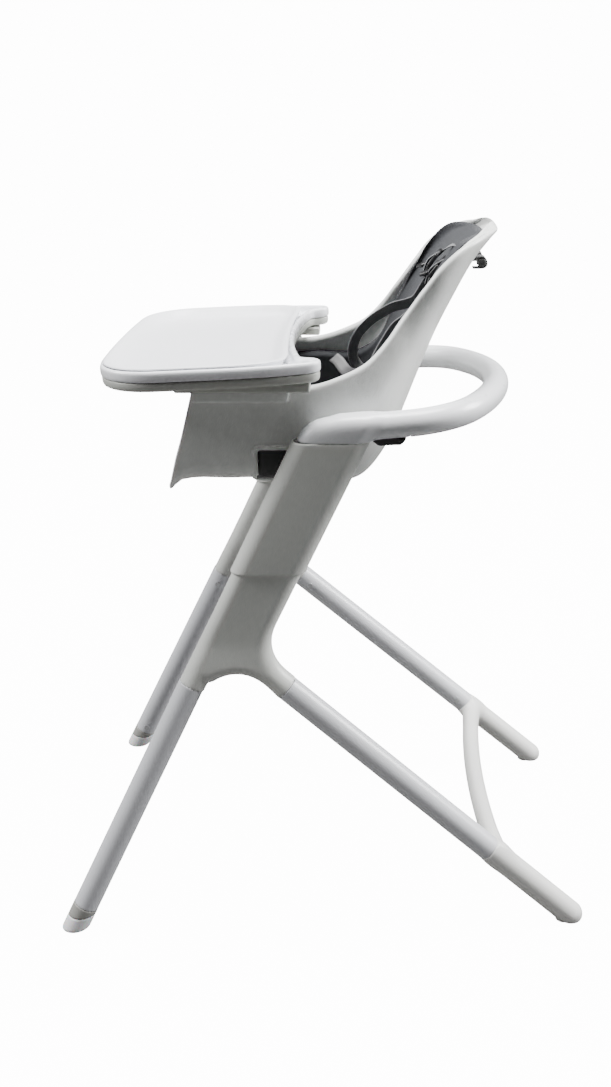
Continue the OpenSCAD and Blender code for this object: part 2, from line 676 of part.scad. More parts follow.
module tray_liner() color(WHITE) difference() {
    union() {
        tray_slice(rim_w + slide_fit, floor_z + slide_fit, floor_z + lip_h + liner_t);
        tray_slice(3, tray_base_t + tray_top_t + seam, floor_z + lip_h + liner_t);
    }
    tray_slice(rim_w + liner_lip, floor_z + slide_fit + liner_t, 90);
}

leg_housing();  // left_leg_housing
mirrored() leg_housing();  // right_leg_housing
front_leg();  // left_front_leg
mirrored() front_leg();  // right_front_leg
rear_leg();  // left_rear_leg
mirrored() rear_leg();  // right_rear_leg
front_foot_collar();  // left_front_foot_collar
mirrored() front_foot_collar();  // right_front_foot_collar
front_foot_pad();  // left_front_foot_pad
mirrored() front_foot_pad();  // right_front_foot_pad
rear_foot_bar();
rear_foot_pads();
lock_rack();  // left_lock_rack
mirrored() lock_rack();  // right_lock_rack
leg_screws();
sleeve();  // left_sleeve
mirrored() sleeve();  // right_sleeve
guide_bushes();  // left_guide_bushes
mirrored() guide_bushes();  // right_guide_bushes
pawl_carrier();  // left_pawl_carrier
mirrored() pawl_carrier();  // right_pawl_carrier
lock_pawl();  // left_lock_pawl
mirrored() lock_pawl();  // right_lock_pawl
handle_shell();
handle_grip_strip();
handle_core();
handle_screws();
trigger();  // left_trigger
mirrored() trigger();  // right_trigger
trigger_pin();  // left_trigger_pin
mirrored() trigger_pin();  // right_trigger_pin
seat_mount();  // left_seat_mount
mirrored() seat_mount();  // right_seat_mount
seat_shell();
seat_hub();  // left_seat_hub
mirrored() seat_hub();  // right_seat_hub
recline_pin();  // left_recline_pin
mirrored() recline_pin();  // right_recline_pin
recline_lever();
recline_lever_pin();
seat_pad();
shoulder_webbing();
waist_strap();  // left_waist_strap
mirrored() waist_strap();  // right_waist_strap
crotch_strap();
buckle_tongue();  // left_buckle_tongue
mirrored() buckle_tongue();  // right_buckle_tongue
buckle_body();
buckle_button();
rail_strike_plates();
tray_base();
tray_top();
tray_liner();
tray_magnets();
tray_screws();
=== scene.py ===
import math

import bmesh
import bpy
import numpy as np
from mathutils import Matrix, Vector


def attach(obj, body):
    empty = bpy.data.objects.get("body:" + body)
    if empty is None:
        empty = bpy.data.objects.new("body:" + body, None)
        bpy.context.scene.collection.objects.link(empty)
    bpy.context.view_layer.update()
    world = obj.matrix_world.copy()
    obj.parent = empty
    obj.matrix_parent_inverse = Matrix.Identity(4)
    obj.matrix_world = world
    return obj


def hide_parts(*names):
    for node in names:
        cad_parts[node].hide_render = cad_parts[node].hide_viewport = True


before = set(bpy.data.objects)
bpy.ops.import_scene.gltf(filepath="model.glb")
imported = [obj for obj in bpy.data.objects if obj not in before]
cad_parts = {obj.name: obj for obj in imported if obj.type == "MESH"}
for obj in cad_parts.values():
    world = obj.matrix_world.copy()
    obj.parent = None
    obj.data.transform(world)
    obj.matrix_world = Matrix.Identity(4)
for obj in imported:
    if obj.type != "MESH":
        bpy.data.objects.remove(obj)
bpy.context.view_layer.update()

MM = 0.001

bl_info = {
    "name": "Baby High Chair",
    "version": (1, 0, 0),
    "blender": (4, 5, 0),
    "location": "3D View > Sidebar > High Chair",
    "description": "Makes the surfaces and finishes of a baby high chair round its packed frame",
    "category": "Add Mesh",
}


# ---------------------------------------------------------------- sizes

def length(name, description, default):
    return bpy.props.FloatProperty(name=name, description=description, default=default, unit="LENGTH")


def colour(name, description, *default):
    return bpy.props.FloatVectorProperty(name=name, description=description, default=default, subtype="COLOR")


class ChairSizes(bpy.types.PropertyGroup):
    shell_wall: length("Shell wall", "Wall of the seat shell", 0.0045)
    rim_wall: length("Rim wall", "Thickness of the shell's rolled rim", 0.013)
    pad_thickness: length("Pad", "Thickness of the seat pad", 0.013)
    web_width: length("Webbing width", "Width of the harness webbing", 0.020)
    web_thickness: length("Webbing", "Thickness of the harness webbing", 0.0016)
    lip_height: length("Liner lip", "Height of the tray liner's lip above its floor", 0.010)
    grip: length("Handle", "Diameter of the push handle", 0.036)


class ChairColours(bpy.types.PropertyGroup):
    moulding: colour("Moulding", "Leg housings and sleeves", 0.64, 0.65, 0.62)
    shell: colour("Shell", "Seat shell", 0.72, 0.73, 0.71)
    handle: colour("Handle", "Push handle", 0.78, 0.79, 0.81)
    tray: colour("Tray", "Tray top and liner", 0.84, 0.85, 0.88)
    # The tray base's grey is its own colour, darkened further as painted shade for the tray top's overhang.
    tray_base: colour("Tray base", "Lower half of the tray", 0.46, 0.47, 0.44)
    tube: colour("Tubes", "Leg tubes", 0.66, 0.67, 0.70)
    bar: colour("Rear feet", "Rear feet and crossbar", 0.74, 0.74, 0.72)
    pad: colour("Pad", "Seat pad", 0.040, 0.042, 0.046)
    webbing: colour("Webbing", "Harness webbing", 0.15, 0.152, 0.156)
    black: colour("Black", "Triggers, brackets and buckles", 0.012, 0.012, 0.013)


# ---------------------------------------------------------------- shader maths

class Flow:
    """A socket with arithmetic: each operator adds one Math node."""

    def __init__(self, tree, socket):
        self.tree, self.socket = tree, socket

    def _math(self, operation, *values):
        return self.tree.node("ShaderNodeMath", {"operation": operation}, *values)

    def __add__(self, other):
        return self._math("ADD", self, other)

    def __sub__(self, other):
        return self._math("SUBTRACT", self, other)

    def __rsub__(self, other):
        return self._math("SUBTRACT", other, self)

    def __mul__(self, other):
        return self._math("MULTIPLY", self, other)

    def __gt__(self, other):
        return self._math("GREATER_THAN", self, other)

    __radd__, __rmul__ = __add__, __mul__

    def wave(self):
        return self._math("SINE", self)

    def absolute(self):
        return self._math("ABSOLUTE", self)


class Tree:
    """A material's node tree. node() takes a node's type, its settings, then its sockets' values or links."""

    def __init__(self, name, colour, **constants):
        self.material = bpy.data.materials.new(name)
        self.material.use_nodes = True
        self.nodes, self.links = self.material.node_tree.nodes, self.material.node_tree.links
        self.shader = next(n for n in self.nodes if n.type == "BSDF_PRINCIPLED")
        self.shader.inputs["Base Color"].default_value = (*colour, 1.0)
        for socket, value in constants.items():
            self.shader.inputs[socket.replace("_", " ")].default_value = value
        self.material.diffuse_color = (*colour, 1.0)

    def node(self, kind, settings=None, *inputs, out=0, **named):
        made = self.nodes.new(kind)
        for key, value in (settings or {}).items():
            setattr(made, key, value)
        for key, value in [*enumerate(inputs), *named.items()]:
            socket = made.inputs[key.replace("_", " ") if isinstance(key, str) else key]
            if isinstance(value, Flow):
                self.links.new(value.socket, socket)
            else:
                socket.default_value = value
        return Flow(self, made.outputs[out])

    def place(self, scale=(1, 1, 1), uv=False):
        where = self.node("ShaderNodeTexCoord", out=2 if uv else 3)
        return self.node("ShaderNodeMapping", None, Vector=where, Scale=scale)

    def noise(self, where, scale, detail=3.0):
        return self.node("ShaderNodeTexNoise", None, Vector=where, Scale=scale, Detail=detail)

    def parts(self, where):
        split = self.nodes.new("ShaderNodeSeparateXYZ")
        self.links.new(where.socket, split.inputs[0])
        return [Flow(self, o) for o in split.outputs]

    def mix(self, factor, a, b):
        made = self.nodes.new("ShaderNodeMix")
        made.data_type = "RGBA"
        for index, value in ((0, factor), (6, a), (7, b)):
            if isinstance(value, Flow):
                self.links.new(value.socket, made.inputs[index])
            else:
                made.inputs[index].default_value = value if index == 0 else (*value, 1.0)
        return Flow(self, made.outputs[2])

    def feed(self, **flows):
        for socket, flow in flows.items():
            self.links.new(flow.socket, self.shader.inputs[socket.replace("_", " ")])

    def bump(self, height, strength, distance=0.0004):
        self.feed(Normal=self.node("ShaderNodeBump", None, Strength=strength, Distance=distance, Height=height))


def shade(colour, factor):
    return tuple(min(c * factor, 1.0) for c in colour)


def moulded(name, colour, roughness=0.34, grain=0.10, coat=0.0):
    """Moulded plastic: a fine spark-eroded grain, faint flow variation in colour, and dust in the roughness."""
    tree = Tree(name, colour, Roughness=roughness, IOR=1.49, Coat_Weight=coat, Coat_Roughness=0.12)
    where = tree.place()
    broad = tree.noise(where, 9.0, 2.0)
    tree.feed(Base_Color=tree.mix(broad, shade(colour, 0.965), shade(colour, 1.03)),
              Roughness=(tree.noise(where, 46.0, 4.0) - 0.5) * 0.14 + roughness)
    tree.bump(tree.noise(where, 1500.0, 2.0) + tree.noise(where, 420.0, 2.0) * 0.6, grain, 0.0002)
    return tree.material


def powder_coat(name, colour):
    """Powder coat: orange peel over a satin colour."""
    tree = Tree(name, colour, Roughness=0.36, IOR=1.5, Coat_Weight=0.25, Coat_Roughness=0.2)
    where = tree.place()
    tree.feed(Base_Color=tree.mix(tree.noise(where, 6.0, 2.0), shade(colour, 0.97), shade(colour, 1.03)),
              Roughness=(tree.noise(where, 60.0, 3.0) - 0.5) * 0.12 + 0.36)
    tree.bump(tree.noise(where, 650.0, 1.0), 0.12, 0.0002)
    return tree.material


def pad_cloth(name, colour):
    """Knitted pad cover: crossed fine ribs, fuzz and a slow change of tone."""
    tree = Tree(name, colour, Roughness=0.9, Sheen_Weight=0.08, Sheen_Roughness=0.5, IOR=1.3)
    where = tree.place(uv=True)
    across, along, _ = tree.parts(where)
    rib = (across * 2600.0).wave() * (along * 2600.0).wave()
    tone = tree.noise(tree.place(), 7.0, 3.0)
    fuzz = tree.noise(tree.place(), 900.0, 3.0)
    weave = tree.mix((rib * 0.5 + 0.5) * 0.55 + fuzz * 0.45, shade(colour, 0.72), shade(colour, 1.30))
    tree.feed(Base_Color=tree.mix(tone, weave, shade(colour, 1.0)))
    tree.bump(rib * 0.5 + fuzz, 0.45, 0.0005)
    return tree.material


def webbing_cloth(name, colour):
    """Woven webbing: chevron ribs across, a selvedge down each edge and a fine fuzz."""
    tree = Tree(name, colour, Roughness=0.8, Sheen_Weight=0.08, Sheen_Roughness=0.4)
    across, along, _ = tree.parts(tree.place(uv=True))
    chevron = ((along + across.absolute() * 0.8) * 3600.0).wave()
    edge = across.absolute() > 0.0085
    fuzz = tree.noise(tree.place(), 1200.0, 2.0)
    body = tree.mix(chevron * 0.35 + 0.5, shade(colour, 0.62), shade(colour, 1.5))
    tree.feed(Base_Color=tree.mix(edge * 0.5, body, shade(colour, 1.9)))
    tree.bump(chevron * 0.6 + fuzz * 0.5, 0.5, 0.0005)
    return tree.material


def brushed_steel(name):
    """Steel with fine scratches across Z."""
    tree = Tree(name, (0.55, 0.56, 0.57), Metallic=1.0, Roughness=0.34)
    scratch = tree.noise(tree.place((1, 1, 24)), 160.0, 3.0)
    tree.feed(Roughness=scratch * 0.2 + 0.24)
    tree.bump(scratch, 0.1, 0.0002)
    return tree.material


def foot_rubber(name):
    """Pale thermoplastic rubber, a little milky."""
    tree = Tree(name, (0.93, 0.94, 0.95), Roughness=0.42, Subsurface_Weight=0.2, Subsurface_Scale=0.004)
    where = tree.place()
    tree.feed(Base_Color=tree.mix(tree.noise(where, 22.0, 3.0), (0.90, 0.91, 0.92), (0.96, 0.97, 0.98)))
    tree.bump(tree.noise(where, 500.0, 2.0), 0.12, 0.0003)
    return tree.material


FINISHES = {}


def finish(name):
    """A finish by name, made the first time it is asked for."""
    if name in FINISHES:
        return FINISHES[name]
    c = bpy.context.scene.chair_colours
    makers = {
        "moulding": (moulded, "housing_moulding", tuple(c.moulding), 0.36),
        "shell": (moulded, "shell_moulding", tuple(c.shell), 0.33),
        "handle": (moulded, "handle_moulding", tuple(c.handle), 0.30, 0.10, 0.2),
        "handle_strip": (moulded, "handle_strip_moulding", shade(tuple(c.handle), 0.55), 0.5),
        "tray": (moulded, "tray_moulding", tuple(c.tray), 0.27, 0.05, 0.25),
        "liner": (moulded, "liner_moulding", shade(tuple(c.tray), 0.985), 0.36, 0.09),
        # Tray base finish: its own grey plus painted shade for the shadow under the tray top's overhang.
        "tray_base": (moulded, "tray_base_moulding", tuple(c.tray_base), 0.36),
        "bar": (moulded, "rear_feet_moulding", tuple(c.bar), 0.34),
        "collar": (moulded, "foot_collar_moulding", (0.34, 0.34, 0.32), 0.42),
        "black": (moulded, "black_moulding", tuple(c.black), 0.38, 0.2),
        "bush": (moulded, "bush_moulding", (0.10, 0.10, 0.10), 0.5),
        "sole": (moulded, "sole_rubber", shade(tuple(c.bar), 0.8), 0.7, 0.4),
        "button": (moulded, "button_moulding", (0.11, 0.11, 0.12), 0.4),
        "webbing_dark": (moulded, "strap_glide_moulding", shade(tuple(c.webbing), 0.35), 0.5),
        "tube": (powder_coat, "tube_powder_coat", tuple(c.tube)),
        "pad": (pad_cloth, "pad_knit", tuple(c.pad)),
        "webbing": (webbing_cloth, "harness_webbing", tuple(c.webbing)),
        "steel": (brushed_steel, "brushed_steel"),
        "foot": (foot_rubber, "foot_rubber"),
    }
    maker, *values = makers[name]
    FINISHES[name] = maker(*values)
    return FINISHES[name]


# ---------------------------------------------------------------- mesh helpers

def quads(n, m, wrap_n=False, wrap_m=False, flip=False, start=0):
    """Quads of an n by m grid of points, rows first."""
    i = np.arange(n if wrap_n else n - 1)[:, None]
    j = np.arange(m if wrap_m else m - 1)[None, :]
    i2, j2 = (i + 1) % n, (j + 1) % m
    q = np.stack([i * m + j, i2 * m + j, i2 * m + j2, i * m + j2], -1).reshape(-1, 4) + start
    return q[:, ::-1] if flip else q


def make(name, points, faces, finish_name, body, replaced=(), uv=None, slot=None, merge=None):
    """One object at the origin from points in millimetres. faces are lists of indices, uv is one pair for each
    point, and merge is the distance in millimetres within which doubled points become one."""
    mesh = bpy.data.meshes.new(name)
    points = np.asarray(points, float).reshape(-1, 3) * MM
    mesh.from_pydata(points.tolist(), [], [list(map(int, f)) for f in faces])
    if uv is not None:
        layer = mesh.uv_layers.new(name="cloth")
        corner = np.empty(len(mesh.loops), np.int32)
        mesh.loops.foreach_get("vertex_index", corner)
        layer.data.foreach_set("uv", (np.asarray(uv, float) * MM)[corner].ravel())
    mesh.polygons.foreach_set("use_smooth", np.full(len(mesh.polygons), True))
    obj = bpy.data.objects.new(name, mesh)
    bpy.context.scene.collection.objects.link(obj)
    if merge:
        work = bmesh.new()
        work.from_mesh(mesh)
        bmesh.ops.remove_doubles(work, verts=work.verts, dist=merge * MM)
        bmesh.ops.dissolve_degenerate(work, edges=work.edges, dist=merge * MM * 0.5)
        bmesh.ops.recalc_face_normals(work, faces=work.faces)
        work.to_mesh(mesh)
        work.free()
    mesh.materials.append(finish(finish_name))
    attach(obj, body)
    if replaced:
        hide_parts(*replaced)
    mesh.validate()
    return obj


def tube_of(sections, closed_path=False, start=0):
    """Points and faces of a surface through closed sections of equal size, [k, m, 3]."""
    k, m, _ = sections.shape
    faces = [list(f) for f in quads(k, m, wrap_n=closed_path, wrap_m=True, start=start)]
    if not closed_path:
        faces += [list(range(start, start + m))[::-1], list(range(start + (k - 1) * m, start + k * m))]
    return sections.reshape(-1, 3), faces


def outward(obj):
    """Recalculates the normals of a finished closed mesh."""
    work = bmesh.new()
    work.from_mesh(obj.data)
    bmesh.ops.recalc_face_normals(work, faces=work.faces)
    work.to_mesh(obj.data)
    work.free()
    return obj


def soft_box(centre, half, radius, k=4, turn=None):
    """Rounded box. Each point is the inner box's corner nearest its direction plus radius times it."""
    quarter = np.linspace(0, 90, k + 1)
    theta = np.concatenate([quarter + 90 * i for i in range(4)])
    phi = np.concatenate([quarter - 90, quarter])
    T, P = np.radians(theta)[None, :], np.radians(phi)[:, None]
    d = np.stack([np.cos(P) * np.cos(T), np.cos(P) * np.sin(T), np.sin(P) + 0 * T], -1)
    sx = np.repeat([1, -1, -1, 1], k + 1)[None, :] + 0 * P
    sy = np.repeat([1, 1, -1, -1], k + 1)[None, :] + 0 * P
    sz = np.repeat([-1, 1], k + 1)[:, None] + 0 * T
    inner = np.maximum(np.asarray(half, float) - radius, 0.01)
    p = np.stack([sx, sy, sz], -1) * inner + radius * d
    if turn is not None:
        p = p @ np.asarray(turn).T
    return p + np.asarray(centre, float)


def boxes(name, list_of_boxes, finish_name, body, replaced=(), **more):
    """Several rounded boxes as one piece."""
    points, faces, start = [], [], 0
    for b in list_of_boxes:
        p, f = tube_of(b, start=start)
        points.append(p)
        faces += f
        start += len(p)
    return make(name, np.concatenate(points), faces, finish_name, body, replaced, merge=0.002, **more)


def mirror_x(p):
    return p * np.array([-1.0, 1.0, 1.0])


def turn_x(degrees):
    a = math.radians(degrees)
    return np.array([[1, 0, 0], [0, math.cos(a), -math.sin(a)], [0, math.sin(a), math.cos(a)]])


def unit(v):
    return v / np.maximum(np.linalg.norm(v, axis=-1, keepdims=True), 1e-9)


def ease(a, b, x):
    t = np.clip((x - a) / (b - a), 0, 1)
    return t * t * (3 - 2 * t)


def spline(points, t):
    """Catmull-Rom curve through rows of points at t from 0 to len - 1."""
    P = np.asarray(points, float)
    t = np.clip(np.asarray(t, float), 0, len(P) - 1)
    i = np.minimum(np.floor(t).astype(int), len(P) - 2)
    f = (t - i)[..., None]
    a, b, c, d = P[np.maximum(i - 1, 0)], P[i], P[i + 1], P[np.minimum(i + 2, len(P) - 1)]
    return 0.5 * (2 * b + (c - a) * f + (2 * a - 5 * b + 4 * c - d) * f ** 2 + (3 * b - a - 3 * c + d) * f ** 3)


def isosurface(field, low, high, step):
    """Surface where a distance field is zero, for blends that no single grid covers. Each cell that the surface
    crosses gets one point, the mean of its edges' crossings, which then moves along the field's gradient."""
    axes = [np.arange(a, b + step, step) for a, b in zip(low, high)]
    G = np.stack(np.meshgrid(*axes, indexing="ij"), -1)
    F = field(G)
    S = F.shape
    total, count = np.zeros([s - 1 for s in S] + [3]), np.zeros([s - 1 for s in S])
    crossing = []
    for ax in range(3):
        a = [slice(None)] * 3
        b = [slice(None)] * 3
        a[ax], b[ax] = slice(None, -1), slice(1, None)
        fa, fb = F[tuple(a)], F[tuple(b)]
        cut = (fa < 0) != (fb < 0)
        idx = np.argwhere(cut)
        t = fa[cut] / (fa[cut] - fb[cut])
        p = G[tuple(a)][cut]
        p[:, ax] += t * step
        others = [o for o in range(3) if o != ax]
        cells = []
        for da, db in ((0, 0), (1, 0), (1, 1), (0, 1)):
            c = idx.copy()
            c[:, others[0]] -= da
            c[:, others[1]] -= db
            ok = np.all((c >= 0) & (c < np.array(count.shape)), axis=1)
            np.add.at(total, tuple(c[ok].T), p[ok])
            np.add.at(count, tuple(c[ok].T), 1)
            cells.append((c, ok))
        crossing.append((cells, (fa[cut] < 0) == (ax != 1)))
    ids = np.full(count.shape, -1)
    used = count > 0
    ids[used] = np.arange(used.sum())
    V = total[used] / count[used][:, None]
    faces = []
    for cells, flip in crossing:
        ok = np.all([o for _, o in cells], axis=0)
        q = np.stack([ids[tuple(c[ok].T)] for c, _ in cells], -1)
        f = flip[ok]
        q[~f] = q[~f][:, ::-1]
        faces.append(q)
    for _ in range(4):
        e = 0.05
        g = np.stack([field(V + e * d) - field(V - e * d) for d in np.eye(3)], -1) / (2 * e)
        V = V - np.clip(field(V), -step, step)[:, None] * g / np.maximum((g ** 2).sum(-1, keepdims=True), 0.2)
    return V, np.concatenate(faces)


def soft_min(a, b, k):
    """Smooth union of two distances: their minimum, lowered by up to a quarter of k where they are alike."""
    h = np.maximum(k - np.abs(a - b), 0) / k
    return np.minimum(a, b) - h * h * k * 0.25


def soft_max(a, b, k):
    return -soft_min(-a, -b, k)


def to_segment(p, a, b):
    """Distance from points to the line through a and b within its ends."""
    a, b = np.asarray(a, float), np.asarray(b, float)
    h = np.clip(((p - a) @ (b - a)) / ((b - a) @ (b - a)), 0, 1)[..., None]
    return np.linalg.norm(p - a - h * (b - a), axis=-1)


# ---------------------------------------------------------------- frame geometry, in millimetres

LEAN = math.radians(25.5)
COLUMN = np.array([207.0, -69.5, 543.0])
COLUMN_HALF_DEPTH, COLUMN_HALF_THICKNESS = 43.0, 16.85
SLEEVE_LOW, SLEEVE_RADIUS, SLEEVE_HALF_DEPTH = 543.0, 20.5, 46.5
FRONT_TOP, FRONT_END = np.array([217.0, -180.3, 374.0]), np.array([269.0, -363.0, 0.0])
REAR_TOP, REAR_END = np.array([213.0, -46.3, 369.0]), np.array([230.0, 359.0, 16.5])
LEG_R = 18.5
FRONT_LEG, REAR_SEAM = 377.5, 385.4                 # lengths of the tubes in view
SPLAY_FROM, FRONT_SPLAY, REAR_SPLAY = 436.0, 0.1535, 0.0861
ARCH_Y, ARCH_Z, ARCH_R = -117.0, 335.0, 55.0
HANDLE_X, GRIP_R = 205.0, 17.95
LOOP_Z, LOOP_RISE = 736.0, math.radians(5.7)
LOOP_START, BEND_X, BEND_R, BACK_R, BACK_Y = 60.0, 105.0, 100.0, 300.0, -50.0
PIVOT_Y, PIVOT_Z, RECLINE_PIN_Z = -3.0, 683.0, 665.0
STRAP_X, STRAP_SLOTS_Z, CROTCH_Y = 40.0, (939, 923), -62.0


def column_frame(p):
    """Coordinates along the leaning column: across, front to back, and up its axis."""
    d = p - COLUMN
    return (d[..., 0], d[..., 1] * math.cos(LEAN) - d[..., 2] * math.sin(LEAN),
            d[..., 1] * math.sin(LEAN) + d[..., 2] * math.cos(LEAN))


def housing_field(p):
    """Side outline first: the column's strip and the rear leg's strip melt together, the arch is cut out of them,
    and the front leg's strip is added. Then the outline is inflated into a plate with fully rounded edges, whose
    middle leans outwards below SPLAY_FROM."""
    x, y, z = p[..., 0], p[..., 1], p[..., 2]
    _, across, up = column_frame(p)
    side = p * np.array([0.0, 1.0, 1.0])
    flat = lambda v: v * np.array([0.0, 1.0, 1.0])
    front_dir, rear_dir = unit(FRONT_END - FRONT_TOP), unit(REAR_END - REAR_TOP)
    column = soft_max(np.abs(across) - COLUMN_HALF_DEPTH, -(up + 186.0), 10.0)
    front_high = flat(FRONT_TOP - 100 * front_dir) + np.array([0.0, 3.4, 0.0])
    front = to_segment(side, flat(FRONT_TOP + 40 * front_dir), front_high) - LEG_R
    rear = to_segment(side, flat(REAR_TOP + 40 * rear_dir), flat(REAR_TOP - 70 * rear_dir)) - LEG_R
    outline = soft_min(column, rear, 46.0)
    arch = ARCH_R - np.hypot(y - ARCH_Y, z - ARCH_Z)
    outline = soft_min(soft_max(outline, arch, 8.0), front, 3.0)
    below = (SPLAY_FROM - z + np.hypot(SPLAY_FROM - z, 7.0)) / 2
    splay, splay_rear = below * FRONT_SPLAY, below * REAR_SPLAY
    middle = COLUMN[0] + splay + (splay_rear - splay) * ease(-150.0, -95.0, y)
    r = COLUMN_HALF_THICKNESS + 1.65 * ease(-95.0, -160.0, up)
    body = np.sqrt(np.maximum(outline + r, 0) ** 2 + (x - middle) ** 2) - r
    for top, direction in ((FRONT_TOP, front_dir), (REAR_TOP, rear_dir)):
        body = soft_max(body, (p - top) @ direction, 0.4)
    return soft_max(body, up - 60.0, 2.0)


def rear_feet_field(p):
    """Two round feet cut flat underneath, and a bowed round bar that melts into both."""
    q = np.stack([np.abs(p[..., 0]), p[..., 1], p[..., 2]], -1)
    direction = unit(REAR_END - REAR_TOP)
    start = REAR_TOP + direction * REAR_SEAM
    foot = to_segment(q, start - direction * 20, REAR_END + 10.0 * direction) - LEG_R
    foot = soft_max(foot, -((q - start) @ direction), 1.0)
    foot = soft_max(foot, 0.6 - q[..., 2], 4.0)
    at = REAR_TOP + direction * (REAR_SEAM + 18.0)
    bow = 15.0
    radius = (at[0] ** 2 + bow ** 2) / (2 * bow)
    ring = np.hypot(q[..., 0], q[..., 1] - (at[1] - bow + radius)) - radius
    flare = 1.6 * ease(150.0, 215.0, q[..., 0])
    bar = np.hypot(ring, q[..., 2] - at[2]) - (13.6 + flare)
    bar = soft_max(bar, q[..., 0] - at[0], 4.0)
    return soft_min(foot, bar, 13.0)


def front_foot_field(p):
    """A leg's end, cut level with the floor, with a rounded edge."""
    foot = to_segment(p, FRONT_TOP, FRONT_END + unit(FRONT_END - FRONT_TOP) * 60) - LEG_R
    return soft_max(soft_max(foot, -p[..., 2], 6.0), p[..., 2] - 23.6, 1.0)


def both_sides(name, points, faces, finish_name, body, node, **more):
    """The left piece and its mirror image. Names of bodies and nodes hold {side}."""
    faces = [list(f) for f in faces]
    for side, p, f in (("left", points, faces), ("right", mirror_x(points), [g[::-1] for g in faces])):
        names = [n.format(side=side) for n in node]
        outward(make(f"{side}_{name}", p, f, finish_name, body.format(side=side), names, **more))


# ---------------------------------------------------------------- seat surface

STATIONS = np.array([
    [-205, 642, 180, -166, 788, 14.0], [-120, 658, 180, -110, 788, 14.0], [-45, 655, 180, -45, 788, 11.0],
    [15, 645, 181, -5, 792, 7.0], [62, 649, 180, 32, 804, 4.4], [97, 691, 176, 65, 821, 3.4],
    [118, 738, 168, 92, 849, 2.8], [138, 787, 160, 113, 879, 2.5], [160, 841, 158, 134, 909, 2.4],
    [183, 888, 158, 156, 937, 2.3], [206, 931, 146, 184, 961, 2.2], [228, 959, 118, 210, 974, 2.1],
    [245, 972, 62, 232, 981, 2.0]], float)
SPAN = len(STATIONS) - 1.0


def skin(t, u):
    """Outer surface of the seat: at each t a superellipse from the keel (u = 0) to the rim (u = 1 and -1)."""
    t, u = np.broadcast_arrays(np.asarray(t, float), np.asarray(u, float))
    s = spline(STATIONS, t)
    a, n = np.radians(90 * np.clip(np.abs(u), 0, 1)), s[..., 5]
    rho = (np.sin(a) ** n + np.maximum(np.cos(a), 0) ** n) ** (-1 / n)
    h = 1 - np.cos(a) * rho
    return np.stack([np.sign(u) * s[..., 2] * np.sin(a) * rho, s[..., 0] + (s[..., 3] - s[..., 0]) * h,
                     s[..., 1] + (s[..., 4] - s[..., 1]) * h], -1)


def skin_in(t, u):
    """Inward unit normal of the skin, from differences across a short step."""
    d = 0.04
    t0, t1 = np.maximum(t - d, 0), np.minimum(t + d, SPAN)
    u0, u1 = np.maximum(u - d, -1), np.minimum(u + d, 1)
    return unit(np.cross(skin(t0, u) - skin(t1, u), skin(t, u1) - skin(t, u0)))


def layer(t, u, depth):
    """A surface depth below the seat's skin."""
    t, u, depth = np.broadcast_arrays(np.asarray(t, float), np.asarray(u, float), np.asarray(depth, float))
    return skin(t, u) + skin_in(t, u) * depth[..., None]


def rim_run(t):
    """Share of u that one millimetre takes near the rim."""
    s = spline(STATIONS, t)
    return 0.637 / np.hypot(s[..., 3] - s[..., 0], s[..., 4] - s[..., 1])


def edged(T, per_mm, reach, k=46):
    """Rows of u, one for each t: even across the middle, close together at the edge, out to reach(t)."""
    steps = np.array([0, 0.35, 1.0, 2.0, 3.4, 5.2, 7.5, 10.5])
    rows = []
    for t in T:
        edge, run = reach(t), per_mm(t)
        outer = edge - steps * run
        mid = np.linspace(-outer[-1], outer[-1], k)[1:-1]
        rows.append(np.concatenate([-outer, mid, outer[::-1]]))
    return np.array(rows)


def closed_sheet(T, U, near, far):
    """Points and faces of the solid between two depths that meet all round the edge."""
    n, m = U.shape
    A, B = layer(T[:, None], U, near), layer(T[:, None], U, far)
    faces = [list(f) for f in quads(n, m)] + [list(f) for f in quads(n, m, flip=True, start=n * m)]
    ring = [(0, j) for j in range(m)] + [(i, m - 1) for i in range(1, n)]
    ring += [(n - 1, j) for j in range(m - 2, -1, -1)] + [(i, 0) for i in range(n - 2, 0, -1)]
    for (a, b), (c, d) in zip(ring, ring[1:] + ring[:1]):
        faces.append([a * m + b, n * m + a * m + b, n * m + c * m + d, c * m + d])
    return np.concatenate([A.reshape(-1, 3), B.reshape(-1, 3)]), faces


def edge_fall(distance, r):
    """0 well inside, rising to 1 at the edge, as a quarter circle of radius r does."""
    return 1 - np.sqrt(np.clip(1 - np.clip(1 - distance / r, 0, 1) ** 2, 0, 1))


def dense_ends(a, b, k, fine):
    """Values from a to b, close together at both ends."""
    return np.concatenate([a + fine, np.linspace(a + fine[-1], b - fine[-1], k)[1:-1], (b - fine)[::-1]])


def cut_with(obj, cutters):
    """Cuts closed boxes out of a piece for good."""
    for c in cutters:
        mod = obj.modifiers.new("cut", "BOOLEAN")
        mod.object, mod.operation, mod.solver = c, "DIFFERENCE", "EXACT"
    deps = bpy.context.evaluated_depsgraph_get()
    mesh = bpy.data.meshes.new_from_object(obj.evaluated_get(deps))
    obj.modifiers.clear()
    old, obj.data = obj.data, mesh
    bpy.data.meshes.remove(old)
    for c in cutters:
        bpy.data.objects.remove(c, do_unlink=True)


def cutter(centre, half, radius, turn=None):
    """A rounded box for cut_with."""
    points, faces = tube_of(soft_box(centre, half, radius, 3, turn))
    mesh = bpy.data.meshes.new("cutter")
    mesh.from_pydata((points * MM).tolist(), [], faces)
    obj = bpy.data.objects.new("cutter", mesh)
    bpy.context.scene.collection.objects.link(obj)
    work = bmesh.new()
    work.from_mesh(mesh)
    bmesh.ops.remove_doubles(work, verts=work.verts, dist=1e-5)
    bmesh.ops.recalc_face_normals(work, faces=work.faces)
    work.to_mesh(mesh)
    work.free()
    return obj


